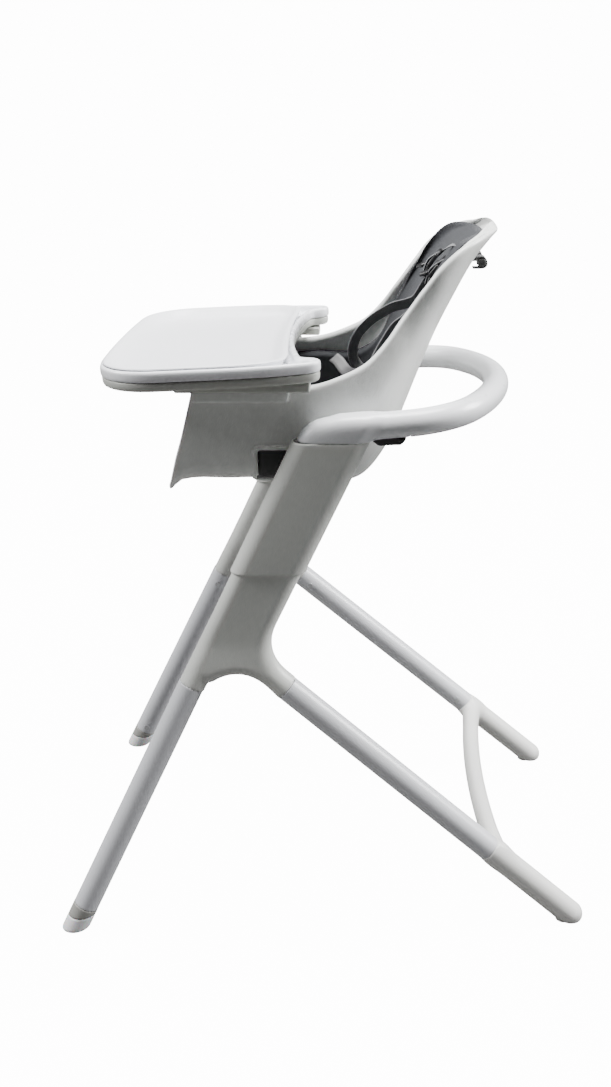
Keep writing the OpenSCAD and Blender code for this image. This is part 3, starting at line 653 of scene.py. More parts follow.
def toe_shift(points):
    """Lifts the seat's underside just behind its front edge, so that the edge alone reaches down as a toe."""
    low = ease(730, 655, points[:, 2])
    y = points[:, 1]
    lift = 9.5 * ease(-206, -189, y) * ease(-112, -180, y) - 2.0 * ease(-192, -204, y)
    return points + np.stack([0 * low, 0 * low, lift * low], -1)


def build_shell(sizes):
    """The sheet from the skin to the wall's depth. The wall thickens towards the rim, the crest and the front edge,
    its edges are rounded, and the crest narrows as a superellipse does."""
    fine_t = np.array([0, 0.004, 0.012, 0.026, 0.05, 0.08, 0.12])
    T = dense_ends(0.0, SPAN - 0.02, 74, fine_t)
    crest = lambda t: math.sqrt(1 - 0.80 * max((t - 11.1) / 0.9, 0) ** 2.4)
    U = edged(T, rim_run, crest)
    run = rim_run(T)[:, None]
    from_rim = (np.array([crest(t) for t in T])[:, None] - np.abs(U)) / run
    ends = np.minimum(T[:, None] * 84, (SPAN - T[:, None]) * 26)
    plain_wall, rim_gain = sizes.shell_wall / MM, (sizes.rim_wall - sizes.shell_wall) / MM
    wall = plain_wall + rim_gain * ease(24, 7, from_rim) * ease(0.0, 0.6, T)[:, None]
    wall = wall + 4.0 * ease(9.5, 12, T)[:, None] + 5.5 * ease(0.2, 0.02, T)[:, None]
    half = wall / 2
    fall = edge_fall(np.minimum(from_rim, ends), half) * half
    points, faces = closed_sheet(T, U, fall, wall - fall)
    return make("seat_shell_surface", toe_shift(points), faces, "shell", "seat", ["seat_shell"], slot="shell")


def build_pad(sizes):
    """The sheet between the shell and a crowned height, which falls to nothing at the edge as a quarter circle
    does, less a seam along the edge and a fold across the back."""
    low, top = 0.30, 11.15
    T = dense_ends(low, top, 84, np.array([0, 0.006, 0.015, 0.03, 0.06, 0.1, 0.16]))
    inset = lambda t: 22.0 + 18.0 * ease(2.6, 4.4, t) * ease(7.2, 5.6, t) - 14.0 * ease(6.3, 9.0, t)
    crest = lambda t: math.sqrt(1 - 0.88 * max((t - top + 1.25) / 1.25, 0) ** 2.4)
    reach = lambda t: max(0.45, 1 - rim_run(np.asarray(t)) * inset(t)) * crest(t)
    U = edged(T, rim_run, reach)
    edge = np.array([reach(t) for t in T])[:, None]
    run = rim_run(T)[:, None]
    from_ends = np.minimum((T[:, None] - low) * 84, (top - T[:, None]) * 27)
    from_edge = np.minimum((edge - np.abs(U)) / run, from_ends)
    thick = sizes.pad_thickness / MM
    crown = thick * (1 - edge_fall(from_edge, 9.0)) + 1.2 * ease(8, 60, from_edge)
    seam = 1.0 * np.exp(-((from_edge - 13.0) / 3.2) ** 2) * ease(0.4, 1.0, T)[:, None]
    fold = 1.6 * np.exp(-((T[:, None] - 3.62) / 0.045) ** 2)
    base = sizes.shell_wall / MM + 1.6
    under = base + 8.0 * ease(26, 10, (1 - np.abs(U)) / run)
    points, faces = closed_sheet(T, U, under, under + np.maximum(crown - seam - fold, 0.4))
    points = toe_shift(points)
    length = np.concatenate([[0], np.cumsum(np.linalg.norm(np.diff(skin(T, 0 * T), axis=0), axis=-1))])
    uv = np.stack(np.broadcast_arrays(U * 260.0, length[:, None]), -1).reshape(-1, 2)
    uv = np.concatenate([uv, uv])
    pad = make("seat_pad_cover", points, faces, "pad", "seat", ["seat_pad"], uv=uv, slot="pad")


def ribbon(path, across, width, thickness, steps=90):
    """Flat webbing: a rounded rectangle carried along a smooth path, its width along the across vectors."""
    P, A = np.asarray(path, float), np.asarray(across, float)
    t = np.linspace(0, len(P) - 1, steps)
    C, W = spline(P, t), unit(spline(A, t))
    tangent = unit(np.gradient(C, axis=0))
    W = unit(W - (W * tangent).sum(-1, keepdims=True) * tangent)
    N = np.cross(tangent, W)
    h, k = width / 2, thickness / 2
    x = np.array([-h, -h + 0.4, -h / 2, 0, h / 2, h - 0.4, h, h, h - 0.4, h / 2, 0, -h / 2, -h + 0.4, -h])
    y = np.array([-k * 0.5, -k, -k, -k, -k, -k, -k * 0.5, k * 0.5, k, k, k, k, k, k * 0.5])
    S = C[:, None] + W[:, None] * x[None, :, None] + N[:, None] * y[None, :, None]
    points, faces = tube_of(S)
    length = np.concatenate([[0], np.cumsum(np.linalg.norm(np.diff(C, axis=0), axis=-1))])
    uv = np.stack(np.broadcast_arrays(x[None, :] + 0 * length[:, None], length[:, None]), -1).reshape(-1, 2)
    return points, faces, uv


# ---------------------------------------------------------------- tray surface

TRAY_FRONT, TRAY_Z, TRAY_TILT = 293.0, 794.0, math.radians(2.2)


def on_tray(p):
    """Places a level tray point, with z above its underside, on the tilted tray."""
    y, z = p[..., 1] + TRAY_FRONT, p[..., 2]
    c, s = math.cos(TRAY_TILT), math.sin(TRAY_TILT)
    return np.stack([p[..., 0], y * c - z * s - TRAY_FRONT, y * s + z * c + TRAY_Z], -1)


def smooth_loop(corners, k=360, soft=7.0):
    """Closed outline through corner points, mirrored in X, sampled evenly and smoothed round the loop."""
    half = np.asarray(corners, float)
    P = np.concatenate([half, half[::-1] * np.array([-1, 1])])
    P = np.concatenate([P, P[:1]])
    for sigma in (0.0, soft):
        length = np.concatenate([[0], np.cumsum(np.linalg.norm(np.diff(P, axis=0), axis=-1))])
        s = np.linspace(0, length[-1], k + 1)[:-1]
        P = np.stack([np.interp(s, length, P[:, 0]), np.interp(s, length, P[:, 1])], -1)
        if sigma:
            f = np.fft.fftfreq(k, length[-1] / k)
            blur = np.exp(-2 * (math.pi * f * sigma) ** 2)[:, None]
            P = np.real(np.fft.ifft(np.fft.fft(P, axis=0) * blur, axis=0))
        P = np.concatenate([P, P[:1]])
    P = P[:-1]
    tangent = unit(np.roll(P, -1, 0) - np.roll(P, 1, 0))
    return P, np.stack([tangent[:, 1], -tangent[:, 0]], -1)


def arc(centre, r, a, b, k=14):
    """Points round a centre from angle a to angle b."""
    t = np.radians(np.linspace(a, b, k))
    return [[centre[0] + r * math.cos(x), centre[1] + r * math.sin(x)] for x in t]


def tray_outline(d=0.0):
    """Plan of the tray d inside its edge: bowed front, round front corners, sides, two arms and a belly curve."""
    bow = [[x, -293.0 + 7.0 * (x / 200.0) ** 2] for x in np.linspace(0, 150, 12)]
    front = arc((160, -208), 79, -84, 0)
    side = [[238.5, -150], [237.5, -100], [233, -55], [228, -30]]
    arm = arc((204, -12), 18.5, 20, 160, 10)
    belly = [[x, -38.0 + 16.0 * (x / 170.0) ** 2] for x in np.linspace(168, 0, 16)]
    P, N = smooth_loop(bow + front + side + arm + [[181, -20]] + belly, soft=4.5)
    return P - N * d if N[0, 1] < 0 else P + N * d


def liner_outline(d=0.0):
    """Plan of the liner's raised lip: the tray without its arms."""
    bow = [[x, -292.0 + 7.0 * (x / 200.0) ** 2] for x in np.linspace(0, 150, 12)]
    front = arc((158, -209), 77.5, -84, 0)
    side = [[236.5, -150], [234, -100], [226, -62]]
    rear = arc((192, -64), 29, 20, 78, 8)
    belly = [[x, -39.0 + 7.0 * (x / 190.0) ** 2] for x in np.linspace(170, 0, 16)]
    P, N = smooth_loop(bow + front + side + rear + belly, soft=6.0)
    return P - N * d if N[0, 1] < 0 else P + N * d


def stacked(levels, outline):
    """Sections through an outline's loops: each level is its inset and height. Shrunken loops close the ends."""
    rings = []
    for d, z in levels:
        P = outline(d)
        rings.append(np.concatenate([P, np.full((len(P), 1), z)], 1))
    rings = np.array(rings)
    for end in (0, -1):
        ring = rings[end]
        mid = np.array([0, ring[:, 1].mean() - 8, 0])
        inner = np.array([(ring - mid) * [f, f, 1] + mid for f in (0.92, 0.75, 0.5, 0.2, 0.004)])
        rings = np.concatenate([inner[::-1], rings]) if end == 0 else np.concatenate([rings, inner])
    return rings


# ---------------------------------------------------------------- frame pieces

def rod(a, b, r, k=56, soft=0.6):
    """Round rod from a to b with a small radius at both rims."""
    a, b = np.asarray(a, float), np.asarray(b, float)
    axis = unit(b - a)
    side = unit(np.cross(axis, [1.0, 0.2, 0.0]))
    up = np.cross(axis, side)
    length = np.linalg.norm(b - a)
    ends = np.array([0, 0.25, 0.6, 2.0])
    at = np.sort(np.concatenate([ends, np.linspace(0.1, 0.9, 7) * length, length - ends]))
    radius = r - soft * (edge_fall(np.minimum(at, length - at), 0.6))
    t = np.arange(k) * 2 * math.pi / k
    ring = np.cos(t)[:, None] * side + np.sin(t)[:, None] * up
    return tube_of(a + at[:, None, None] * axis + radius[:, None, None] * ring[None])


class CHAIR_OT_housings(bpy.types.Operator):
    """Housings that melt each column into its two leg sockets, with the arch between them"""
    bl_idname = "chair.housings"
    bl_label = "Leg Housings"
    bl_options = {"REGISTER", "UNDO"}

    def execute(self, context):
        step = 2.6
        V, faces = isosurface(housing_field, (184, -232, 340), (246, 8, 606), step)
        both_sides("leg_housing_surface", V, faces, "moulding", "base", ["{side}_leg_housing"], slot="housing")
        return {"FINISHED"}


class CHAIR_OT_legs(bpy.types.Operator):
    """Round leg tubes, from the sockets to the feet"""
    bl_idname = "chair.legs"
    bl_label = "Legs"
    bl_options = {"REGISTER", "UNDO"}

    def execute(self, context):
        for name, top, end, length in (("front_leg", FRONT_TOP, FRONT_END, FRONT_LEG),
                                       ("rear_leg", REAR_TOP, REAR_END, REAR_SEAM)):
            axis = unit(end - top)
            points, faces = rod(top + 0.2 * axis, top + (length - 0.1) * axis, LEG_R - 0.2, soft=0.35)
            both_sides(f"{name}_tube", points, faces, "tube", "base", ["{side}_" + name], slot="tube")
        return {"FINISHED"}


class CHAIR_OT_feet(bpy.types.Operator):
    """Front feet with their collars, and the rear feet that share a bowed bar"""
    bl_idname = "chair.feet"
    bl_label = "Feet"
    bl_options = {"REGISTER", "UNDO"}

    def execute(self, context):
        axis = unit(FRONT_END - FRONT_TOP)

        def collar(p):
            ring = to_segment(p, FRONT_TOP, FRONT_END + 60 * axis) - LEG_R
            return soft_max(soft_max(ring, 24.2 - p[..., 2], 0.8), (FRONT_TOP + 378.2 * axis - p) @ axis, 0.8)

        step = 1.4
        for name, field, low, high, colour, node in (
                ("front_foot_pad_surface", front_foot_field, -2, 27, "foot", "front_foot_pad"),
                ("front_foot_collar_surface", collar, 20, 56, "collar", "front_foot_collar")):
            V, faces = isosurface(field, (240, -392, low), (294, -314, high), step)
            both_sides(name, V, faces, colour, "base", ["{side}_" + node])
        step = 3.0
        V, faces = isosurface(rear_feet_field, (-256, 228, -4), (256, 386, 142), step)
        outward(make("rear_feet_surface", V, faces, "bar", "base", ["rear_foot_bar"], slot="bar"))
        return {"FINISHED"}


class CHAIR_OT_sleeves(bpy.types.Operator):
    """Sleeves that slide on the columns: level rings of a leaning stadium, outside and inside"""
    bl_idname = "chair.sleeves"
    bl_label = "Sleeves"
    bl_options = {"REGISTER", "UNDO"}

    def execute(self, context):
        t = (np.arange(80) + 0.5) * 2 * math.pi / 80
        levels = [(2.6, 0.9), (1.6, 0.1), (0.8, 0.0), (0.3, 0.5), (0.05, 1.3), (0, 2.6), (0, 60), (0, 120),
                  (0, 178), (0, 181.2), (0.2, 182.0), (0.6, 182.5), (2.0, 182.6), (2.4, 182.0), (2.4, 120),
                  (2.4, 60), (2.6, 3.0)]
        rings = []
        for inset, up in levels:
            half_y = SLEEVE_HALF_DEPTH / math.cos(LEAN) - inset
            r_x, r_y = SLEEVE_RADIUS - inset, (SLEEVE_RADIUS - inset) / math.cos(LEAN)
            y = np.sign(np.cos(t)) * (half_y - r_y) + r_y * np.cos(t)
            y = y + COLUMN[1] + up * math.tan(LEAN)
            rings.append(np.stack([COLUMN[0] + r_x * np.sin(t), y, SLEEVE_LOW + up + 0 * t], -1))
        points, faces = tube_of(np.array(rings), closed_path=True)
        both_sides("sleeve_surface", points, faces, "moulding", "carriage", ["{side}_sleeve"], slot="housing")
        return {"FINISHED"}


def loop_point(s):
    """Point and outward direction of the handle's path, and its length: a straight side, a tight arc, a wide arc.
    s is in millimetres from the start of the straight side."""
    between = BACK_R - BEND_R
    bend_y = BACK_Y + math.sqrt(between ** 2 - BEND_X ** 2)
    turn = math.acos(BEND_X / between)
    straight, bend, back = bend_y - LOOP_START, BEND_R * turn, BACK_R * (math.pi / 2 - turn)
    if s <= straight:
        p, out = (HANDLE_X, LOOP_START + s), (1.0, 0.0)
    elif s <= straight + bend:
        a = (s - straight) / BEND_R
        out = (math.cos(a), math.sin(a))
        p = (BEND_X + BEND_R * out[0], bend_y + BEND_R * out[1])
    else:
        b = turn + (s - straight - bend) / BACK_R
        out = (math.cos(b), math.sin(b))
        p = (BACK_R * out[0], BACK_Y + BACK_R * out[1])
    return np.array([*p, 0.0]), np.array([*out, 0.0]), straight + bend + back


def tilt_loop(p):
    """Places a level handle point on the handle's rising plane."""
    c, s = math.cos(LOOP_RISE), math.sin(LOOP_RISE)
    return np.stack([p[..., 0], p[..., 1] * c - p[..., 2] * s, p[..., 1] * s + p[..., 2] * c + LOOP_Z], -1)


def loop_sections(ring, start, n=70):
    """Sections along the whole loop: ring holds pairs of outward and upward millimetres."""
    total = loop_point(0)[2]
    half = []
    for s in [start, start + 0.12, start + 0.4, *np.linspace(start + 1.5, total, n)]:
        p, out, _ = loop_point(s)
        half.append(p + ring[:, :1] * out + ring[:, 1:] * np.array([0, 0, 1.0]))
    half = tilt_loop(np.array(half))
    return half, mirror_x(half)[::-1][1:]


def elbow_field(p):
    """The handle's round grip melts into the leaning sleeve's stadium, which an elliptic curve rounds off above."""
    x, across, _ = column_frame(p)
    grip_ends = [tilt_loop(np.array([HANDLE_X, y, 0.0])) for y in (34, 112)]
    grip = to_segment(p, *grip_ends) - GRIP_R
    sleeve = np.hypot(np.maximum(np.abs(across) - (SLEEVE_HALF_DEPTH - SLEEVE_RADIUS), 0), x) - SLEEVE_RADIUS
    crown = (np.hypot((p[..., 1] - 62) / 98, (p[..., 2] - 724) / 36.6) - 1) * 34
    body = soft_min(soft_max(sleeve, crown, 17.0), grip, 9.0)
    return soft_max(body, 726.05 - p[..., 2] - 7.0 * ease(68, 84, p[..., 1]), 0.5)


class CHAIR_OT_handle(bpy.types.Operator):
    """Push handle: each end grows out of its sleeve, then a round grip runs behind the backrest. A strip closes the
    grip from below, and a trigger sits under each side"""
    bl_idname = "chair.handle"
    bl_label = "Handle"
    bl_options = {"REGISTER", "UNDO"}

    def trigger_bays(self):
        """The pocket that each trigger swings up into."""
        turn = turn_x(math.degrees(LOOP_RISE))
        return [cutter(tilt_loop(np.array([side * HANDLE_X, 93.0, -14.0])), (11, 27, 8), 0.6, turn)
                for side in (-1, 1)]

    def execute(self, context):
        sizes = context.scene.chair_sizes
        r = sizes.grip / MM / 2
        k = 72
        t = np.arange(k) * 2 * math.pi / k
        up = np.where(r * np.cos(t) < -14.2, -14.2 + 0.05 * (r * np.cos(t) + 14.2), r * np.cos(t))
        left, right = loop_sections(np.stack([r * np.sin(t), up], -1), start=45.0)
        points, faces = tube_of(np.concatenate([left, right]))
        grip = make("handle_surface", points, faces, "handle", "carriage", ["handle_shell"], slot="handle")
        cut_with(grip, self.trigger_bays())
        outward(grip)
        V, faces = isosurface(elbow_field, (182, -50, 722), (232, 136, 770), 1.8)
        both_sides("elbow_surface", V, faces, "handle", "carriage", (), slot="handle")

        low = np.radians(np.linspace(-37, 37, 19))
        rim = np.stack([17.7 * np.sin(low), -17.7 * np.cos(low)], -1)
        back = np.stack([np.linspace(10.4, -10.4, 12), np.full(12, -13.6)], -1)
        strip = np.concatenate([rim, back])
        left, right = loop_sections(strip, start=57.0, n=56)
        points, faces = tube_of(np.concatenate([left, right]))
        strip = make("handle_strip_surface", points, faces, "handle_strip", "carriage", ["handle_grip_strip"],
                     slot="handle_strip")
        cut_with(strip, self.trigger_bays())
        outward(strip)

        outline = np.array([[68.0, -10], [75, -9.5], [90, -12.0], [102, -14.0], [110, -15.2], [113.6, -17],
                            [112, -20.5], [106, -25.4], [98, -25.2], [86, -24.5], [78, -23.9], [72.6, -19.6],
                            [68.4, -15.6]])
        s = np.linspace(0, len(outline), 73)[:-1]
        P = spline(np.concatenate([outline[-1:], outline, outline[:2]]), s + 1)
        tangent = unit(np.roll(P, -1, 0) - np.roll(P, 1, 0))
        normal = np.stack([tangent[:, 1], -tangent[:, 0]], -1)
        normal *= np.sign((normal * (P - P.mean(0))).sum(-1).mean())
        rings = []
        cheek = ((10, 2.6), (9.8, 1.5), (9.2, 0.6), (8, 0.1), (6, 0))
        for x, inset in [*((-x, inset) for x, inset in cheek), (0, -0.2), *cheek[::-1]]:
            Q = P - normal * inset
            rings.append(np.stack([np.full(len(Q), HANDLE_X + x), Q[:, 0], Q[:, 1]], -1))
        points, faces = tube_of(tilt_loop(np.array(rings)))
        both_sides("trigger_paddle", points, faces, "black", "{side}_trigger", ["{side}_trigger"])
        return {"FINISHED"}


# ---------------------------------------------------------------- seat pieces

def side_x(z):
    """Distance of the seat's side wall from the mid-plane at a height, near the pivots."""
    h = np.clip((z - 655.0) / 133.0, 0.0, 1.0)
    return 180.2 * (1 - (1 - h) ** 11.5) ** (1 / 11.5)


def ring_tube(path, r, k=16):
    """Round bead along a closed path that lies in a plane of constant X."""
    x_axis = np.array([1.0, 0, 0])
    side = np.cross(unit(np.roll(path, -1, 0) - np.roll(path, 1, 0)), x_axis)
    t = (np.arange(k) * 2 * math.pi / k)[None, :, None]
    return tube_of(path[:, None] + r * (np.cos(t) * side[:, None] + np.sin(t) * x_axis), closed_path=True)


class CHAIR_OT_seat_shell(bpy.types.Operator):
    """Seat shell with a rolled rim, tray rails, harness slots, a recessed black plate at each pivot that also
    paints the recess's shade, and lever lugs
    """
    bl_idname = "chair.seat_shell"
    bl_label = "Seat Shell"
    bl_options = {"REGISTER", "UNDO"}

    def execute(self, context):
        shell = build_shell(context.scene.chair_sizes)
        cuts = []
        for side in (-1, 1):
            for z in STRAP_SLOTS_Z:
                cuts.append(cutter((side * STRAP_X, 205, z), (12.5, 60, 2.6), 2.0))
            cuts.append(cutter((side * 185, -31.5, PIVOT_Z), (27, 50, 21.6), 4.0))
        cuts.append(cutter((0, CROTCH_Y, 655), (12, 3.2, 30), 1.5))
        cut_with(shell, cuts)
        outward(shell)
        for name, centre, half, radius in (("tray_rails", (184.5, -102, 780.6), (10.5, 64, 8.0), 3.0),
                                           ("lever_lugs", (42.5, -28, 644), (2.4, 6.8, 13.5), 2.0)):
            pair = [soft_box(centre * np.array([side, 1, 1]), half, radius) for side in (-1, 1)]
            boxes(name, pair, "shell", "seat", slot="shell")
        # The two beads' names are swapped: left is the one at negative X.
        for side, bead in ((-1, "left"), (1, "right")):
            self.pivot_shade_plate(side)
            self.pivot_frame(side, bead)
        return {"FINISHED"}

    def pivot_shade_plate(self, side):
        """Dark plate that follows the side wall a little below it, with a hole for the recline pin. Its black is
        partly the dark mount in the recess and partly painted shade of the recess's depth.
        """
        y, z = np.meshgrid(np.linspace(-84, 21, 12), np.linspace(659.5, 706.5, 40), indexing="ij")
        grid = [np.stack([side * (side_x(z) - d), y, z], -1).reshape(-1, 3) for d in (3.0, 5.6)]
        n, m = y.shape
        ring = [*range(m), *range(2 * m - 1, n * m, m), *range(n * m - 2, (n - 1) * m - 1, -1),
                *range((n - 2) * m, 0, -m)]
        walls = [[i, n * m + i, n * m + j, j] for i, j in zip(ring, ring[1:] + ring[:1])]
        faces = [*quads(n, m), *quads(n, m, flip=True, start=n * m), *walls]
        name = "left_pivot_plate" if side > 0 else "right_pivot_plate"
        # Black finish: partly the mount's own colour, partly painted shade for the recess's depth.
        plate = make(name, np.concatenate(grid), faces, "black", "seat")
        cut_with(plate, [cutter((side * 170, PIVOT_Y, RECLINE_PIN_Z), (12, 3.1, 3.1), 1.5)])
        outward(plate)

    def pivot_frame(self, side, name):
        """Bead round the recess: a rounded rectangle that lies on the side wall."""
        path = []
        for (y, z), start in zip(((18.5, 703), (-82, 703), (-82, 662), (18.5, 662)), (0, 90, 180, 270)):
            for t in np.radians(np.linspace(start, start + 90, 7)):
                high = z + 5.0 * math.sin(t)
                path.append([side * (side_x(high) - 0.9), y + 5.0 * math.cos(t), high])
        points, faces = ring_tube(np.array(path), 3.2)
        outward(make(f"{name}_pivot_frame", points, faces, "shell", "seat", slot="shell"))


class CHAIR_OT_seat_pad(bpy.types.Operator):
    """Stuffed seat pad with a crowned edge, a piped seam and a fold where the back meets the seat"""
    bl_idname = "chair.seat_pad"
    bl_label = "Seat Pad"
    bl_options = {"REGISTER", "UNDO"}

    def execute(self, context):
        sizes = context.scene.chair_sizes
        build_pad(sizes)
        return {"FINISHED"}


class CHAIR_OT_harness(bpy.types.Operator):
    """Five webbing straps, their dark tongues and the buckle with its press button"""
    bl_idname = "chair.harness"
    bl_label = "Harness"
    bl_options = {"REGISTER", "UNDO"}

    def execute(self, context):
        sizes = context.scene.chair_sizes
        w, k = sizes.web_width / MM, sizes.web_thickness / MM
        x_axis = [1.0, 0, 0]

        def lay(name, path, turns, node, width=w, cloth="webbing"):
            """Webbing along a path. turns is the angle, at each point, from level across to edgewise."""
            path = np.array(path, float)
            tangent = unit(np.gradient(path, axis=0))
            a = np.radians(turns)[:, None]
            across = np.cos(a) * x_axis + np.sin(a) * unit(np.cross(tangent, x_axis))
            p, f, uv = ribbon(path, across, width, k)
            return outward(make(name, p, f, cloth, "seat", node, uv=uv, slot="webbing"))

        upper = [[40, 226, 933.6], [40, 222, 938.2], [40, 212, 938.6], [41, 198, 940], [42, 186, 944],
                 [44, 174, 937], [44, 163, 929], [42, 154, 921], [41, 150, 911], [41, 148, 902]]
        lower = [[40, 226, 933.6], [40, 226.6, 928], [40, 222, 923.8], [40, 208, 923.4]]
        for side, name in ((1, "left"), (-1, "right")):
            flip = np.array([side, 1, 1])
            lay(f"{name}_shoulder_strap", upper * flip, [0] * 5 + [12, 24, 30, 30, 30], ["shoulder_webbing"])
            lay(f"{name}_shoulder_return", lower * flip, [0] * 4, ())
        far = [[-41, 150, 900], [-41, 144, 886], [-40, 135, 869], [-39, 121, 862], [-38, 104, 858], [-38, 88, 850],
               [-38, 70, 838], [-40, 54, 821], [-42, 46, 805], [-46, 44, 789], [-52, 48, 773], [-66, 60, 757],
               [-92, 70, 746], [-126, 78, 742]]
        far_turns = [20, 35, 50, 58, 58, 55, 52, 50, 50, 50, 50, 40, 20, 0]
        near = [[41, 150, 900], [42, 144, 888], [43, 131, 868], [43, 117, 854], [43, 104, 843], [44, 94, 828],
                [46, 84, 812], [50, 76, 797], [58, 72, 781], [74, 74, 765], [98, 78, 752], [128, 80, 746]]
        near_turns = [20, 30, 45, 55, 60, 60, 55, 50, 45, 40, 20, 0]
        lay("right_waist_webbing", far, far_turns, ["right_waist_strap"], w * 0.92)
        lay("left_waist_webbing", near, near_turns, ["left_waist_strap"], w * 0.92)
        flap = [[-30, 16, 786], [-22, 24, 781], [-8, 33, 772], [6, 42, 769], [20, 52, 772]]
        lay("loose_strap_end", flap, [50, 50, 45, 40, 40], (), w * 0.9, "webbing_dark")
        lay("crotch_webbing", [[0, CROTCH_Y, z] for z in (652, 670, 700, 728, 742)], [0] * 5, ["crotch_strap"])

        bars = (((156, 922), (13.5, 3.2, 10), 38, 12), ((150, 909), (11, 2.8, 12), 14, -18),
                ((144, 917), (8, 2.4, 7), 70, 30), ((168, 934), (10.5, 2.2, 6), 46, 4))
        for side, name in ((1, "left"), (-1, "right")):
            tongue = []
            for (y, z), half, tip, skew in bars:
                c, s = math.cos(math.radians(skew * side)), math.sin(math.radians(skew * side))
                twist = np.array([[c, 0, s], [0, 1, 0], [-s, 0, c]])
                tongue.append(soft_box((side * 42, y, z), half, 2.0, 4, turn_x(-tip) @ twist))
            boxes(f"{name}_tongue", tongue, "black", "seat", [f"{name}_buckle_tongue"])
            glide = [soft_box((side * STRAP_X, 219.4, 931), (12.2, 5.6, 5.0), 2.4)]
            boxes(f"{name}_strap_glide", glide, "webbing_dark", "seat")
        buckle = [soft_box((0, CROTCH_Y, 754), (22.6, 7.3, 22.6), 6.0, 6)]
        boxes("buckle_housing", buckle, "black", "seat", ["buckle_body"])
        p, f = rod((0, CROTCH_Y - 9, 757), (0, CROTCH_Y - 3, 757), 11.0, 48, 1.2)
        outward(make("buckle_press_button", p, f, "button", "buckle_button", ["buckle_button"]))
        return {"FINISHED"}


class CHAIR_OT_fittings(bpy.types.Operator):
    """Pivot hubs beside the seat, and the recline lever below it"""
    bl_idname = "chair.fittings"
    bl_label = "Fittings"
    bl_options = {"REGISTER", "UNDO"}

    def execute(self, context):
        for side, name in ((1, "left"), (-1, "right")):
            points, faces = rod((side * 176.2, PIVOT_Y, PIVOT_Z), (side * 180.1, PIVOT_Y, PIVOT_Z), 23.6, 64, 0.8)
            outward(make(f"{name}_hub_disc", points, faces, "black", "seat", [f"{name}_seat_hub"]))
        bar = [soft_box((0, -29.5, 620), (39, 2.6, 16), 2.4), soft_box((0, -29.5, 606), (39, 4.4, 4.4), 4.0, 6)]
        boxes("recline_lever_bar", bar, "black", "recline_lever", ["recline_lever"])
        return {"FINISHED"}


# ---------------------------------------------------------------- tray pieces

class CHAIR_OT_tray(bpy.types.Operator):
    """Tray base with its two runners, tray top with a rolled rim and arms, and the liner that snaps into it"""
    bl_idname = "chair.tray"
    bl_label = "Tray"
    bl_options = {"REGISTER", "UNDO"}

    def execute(self, context):
        sizes = context.scene.chair_sizes
        base = [(30, -1.0), (12, -1.2), (5.6, -0.8), (3.2, 0.6), (2.0, 3.0), (1.5, 6.0), (1.4, 9.6), (1.9, 10.7),
                (6, 11.0), (12, 11.0)]
        top = [(12, 11.5), (3.5, 11.5), (1.4, 12.2), (0.35, 13.8), (0, 16.2), (0, 20.5), (0.25, 22.8), (1.1, 24.7),
               (2.6, 25.8), (4.4, 25.9), (6.3, 25.2), (8.0, 23.6), (9.2, 21.0), (10.0, 18.4), (12.5, 17.0),
               (17, 16.6)]
        floor = 18.0
        lip = floor + sizes.lip_height / MM
        liner = [(24, 16.9), (10.5, 17.2), (9.9, 19), (9.4, 22.5), (8.2, 24.9), (6.4, 26.1), (4.6, 26.4),
                 (3.9, 26.9), (3.7, 27.6), (4.2, 28.3), (5.6, 28.8), (8.2, 28.9), (11.0, lip + 0.5),
                 (13.6, lip - 1.0), (16.0, lip - 3.4), (18.2, lip - 5.6), (20.6, floor + 2.5), (23.4, floor + 1.1),
                 (27.5, floor + 0.3), (33, floor)]
        for name, levels, outline, colour, body, node, slot in (
                ("tray_base_surface", base, tray_outline, "tray_base", "tray", "tray_base", "tray_grey"),
                ("tray_top_surface", top, tray_outline, "tray", "tray", "tray_top", "tray_white"),
                ("liner_surface", liner, liner_outline, "liner", "liner", "tray_liner", "tray_white")):
            points, faces = tube_of(on_tray(stacked(levels, outline)))
            outward(make(name, points, faces, colour, body, [node], slot=slot))
        # The runners share the tray base's finish, and with it its painted shade.
        runners = [soft_box((side * 197, -97, 795.4), (14.6, 88, 6.2), 3.0) for side in (-1, 1)]
        boxes("tray_runners", runners, "tray_base", "tray", slot="tray_grey")
        return {"FINISHED"}


class CHAIR_OT_frame_finishes(bpy.types.Operator):
    """Finishes on the frame's own small pieces: screws, pins, racks, bushes, pawls and soles"""
    bl_idname = "chair.frame_finishes"
    bl_label = "Frame Finishes"
    bl_options = {"REGISTER", "UNDO"}

    def execute(self, context):
        steel = ("screw", "rack", "pin", "core", "magnet", "plate")
        for name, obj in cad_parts.items():
            if "bush" in name:
                kind = "bush"
            elif name == "rear_foot_pads":
                kind = "sole"
            elif any(word in name for word in steel):
                kind = "steel"
            else:
                kind = "black"
            obj.data.materials.clear()
            obj.data.materials.append(finish(kind))
        return {"FINISHED"}


# ---------------------------------------------------------------- stage

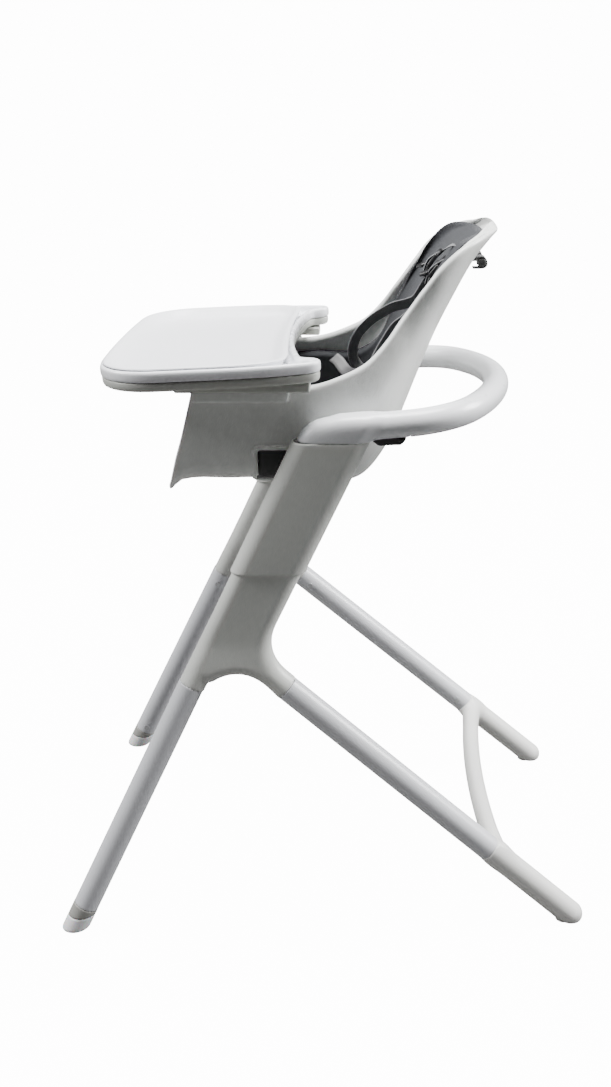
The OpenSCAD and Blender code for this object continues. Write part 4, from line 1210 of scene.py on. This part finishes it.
class CHAIR_OT_stage(bpy.types.Operator):
    """Pale floor that runs into a pale background, soft lamps and the camera"""
    bl_idname = "chair.stage"
    bl_label = "Stage"
    bl_options = {"REGISTER", "UNDO"}

    def execute(self, context):
        scene = context.scene
        glow, room_light = 14.0, 0.04          # what the camera sees behind the chair, and what lights it
        world = bpy.data.worlds.new("studio")
        world.use_nodes = True
        nodes, links = world.node_tree.nodes, world.node_tree.links
        back = next(n for n in nodes if n.type == "BACKGROUND")
        back.inputs["Color"].default_value = (1.0, 1.0, 1.0, 1.0)
        ray = nodes.new("ShaderNodeLightPath")
        level = nodes.new("ShaderNodeMapRange")
        level.inputs["To Min"].default_value, level.inputs["To Max"].default_value = room_light, glow
        links.new(ray.outputs["Is Camera Ray"], level.inputs["Value"])
        links.new(level.outputs[0], back.inputs["Strength"])
        scene.world = world

        mesh = bpy.data.meshes.new("studio_floor")
        mesh.from_pydata([(-9, -9, 0), (9, -9, 0), (9, 9, 0), (-9, 9, 0)], [], [(0, 1, 2, 3)])
        floor = bpy.data.objects.new("studio_floor", mesh)
        scene.collection.objects.link(floor)
        paint = Tree("studio_paint", (0.12, 0.12, 0.12), Roughness=0.9, Specular_IOR_Level=0.0,
                     Emission_Strength=glow)
        seen = paint.node("ShaderNodeLightPath")
        paint.feed(Emission_Color=paint.mix(seen, (0.0, 0.0, 0.0), (1.0, 1.0, 1.0)))
        mesh.materials.append(paint.material)

        for name, place, aim, power in (("key_lamp", (0.1, -2.8, 2.8), (0, 0, 0.6), 190),
                                        ("rear_lamp", (-0.4, 3.0, 2.6), (0, 0.1, 0.6), 330),
                                        ("top_lamp", (-0.2, 0.2, 3.8), (0, 0, 0), 300)):
            lamp = bpy.data.lights.new(name, "AREA")
            lamp.energy, lamp.size = power, 1.6
            obj = bpy.data.objects.new(name, lamp)
            obj.location = place
            obj.rotation_euler = (Vector(aim) - Vector(place)).to_track_quat("-Z", "Y").to_euler()
            scene.collection.objects.link(obj)

        x, y, z = 1.724469, 0.055140, 1.149576
        pitch, yaw, roll = 0.3573524, 0.0479936, -0.0139974
        d = Vector((-math.cos(pitch) * math.cos(yaw), -math.cos(pitch) * math.sin(yaw), -math.sin(pitch)))
        right = d.cross(Vector((0, 0, 1))).normalized()
        up = right.cross(d)
        right, up = right * math.cos(roll) + up * math.sin(roll), up * math.cos(roll) - right * math.sin(roll)
        lens = bpy.data.cameras.new("camera")
        lens.lens, lens.sensor_width, lens.sensor_fit = 39.95, 36, "AUTO"
        camera = bpy.data.objects.new("camera", lens)
        camera.matrix_world = Matrix(((right.x, up.x, -d.x, x), (right.y, up.y, -d.y, y), (right.z, up.z, -d.z, z),
                                      (0, 0, 0, 1)))
        scene.collection.objects.link(camera)
        scene.camera = camera
        return {"FINISHED"}


# ---------------------------------------------------------------- panel and registration

OPERATORS = [CHAIR_OT_frame_finishes, CHAIR_OT_housings, CHAIR_OT_legs, CHAIR_OT_feet, CHAIR_OT_sleeves,
             CHAIR_OT_handle, CHAIR_OT_seat_shell, CHAIR_OT_seat_pad, CHAIR_OT_harness, CHAIR_OT_fittings,
             CHAIR_OT_tray, CHAIR_OT_stage]


class CHAIR_PT_panel(bpy.types.Panel):
    """Sizes, colours and one button for each group of pieces"""
    bl_idname = "CHAIR_PT_panel"
    bl_label = "High Chair"
    bl_space_type = "VIEW_3D"
    bl_region_type = "UI"
    bl_category = "High Chair"

    def draw(self, context):
        for group in (context.scene.chair_sizes, context.scene.chair_colours):
            box = self.layout.box()
            for key in group.bl_rna.properties.keys():
                if key not in ("rna_type", "name"):
                    box.prop(group, key)
        for operator in OPERATORS:
            self.layout.operator(operator.bl_idname)


CLASSES = [ChairSizes, ChairColours, *OPERATORS, CHAIR_PT_panel]


def register():
    for c in CLASSES:
        bpy.utils.register_class(c)
    bpy.types.Scene.chair_sizes = bpy.props.PointerProperty(type=ChairSizes)
    bpy.types.Scene.chair_colours = bpy.props.PointerProperty(type=ChairColours)


def unregister():
    del bpy.types.Scene.chair_colours
    del bpy.types.Scene.chair_sizes
    for c in reversed(CLASSES):
        bpy.utils.unregister_class(c)


def main():
    register()
    for operator in OPERATORS:
        getattr(bpy.ops.chair, operator.bl_idname.split(".")[1])()


if __name__ == "__main__":
    main()
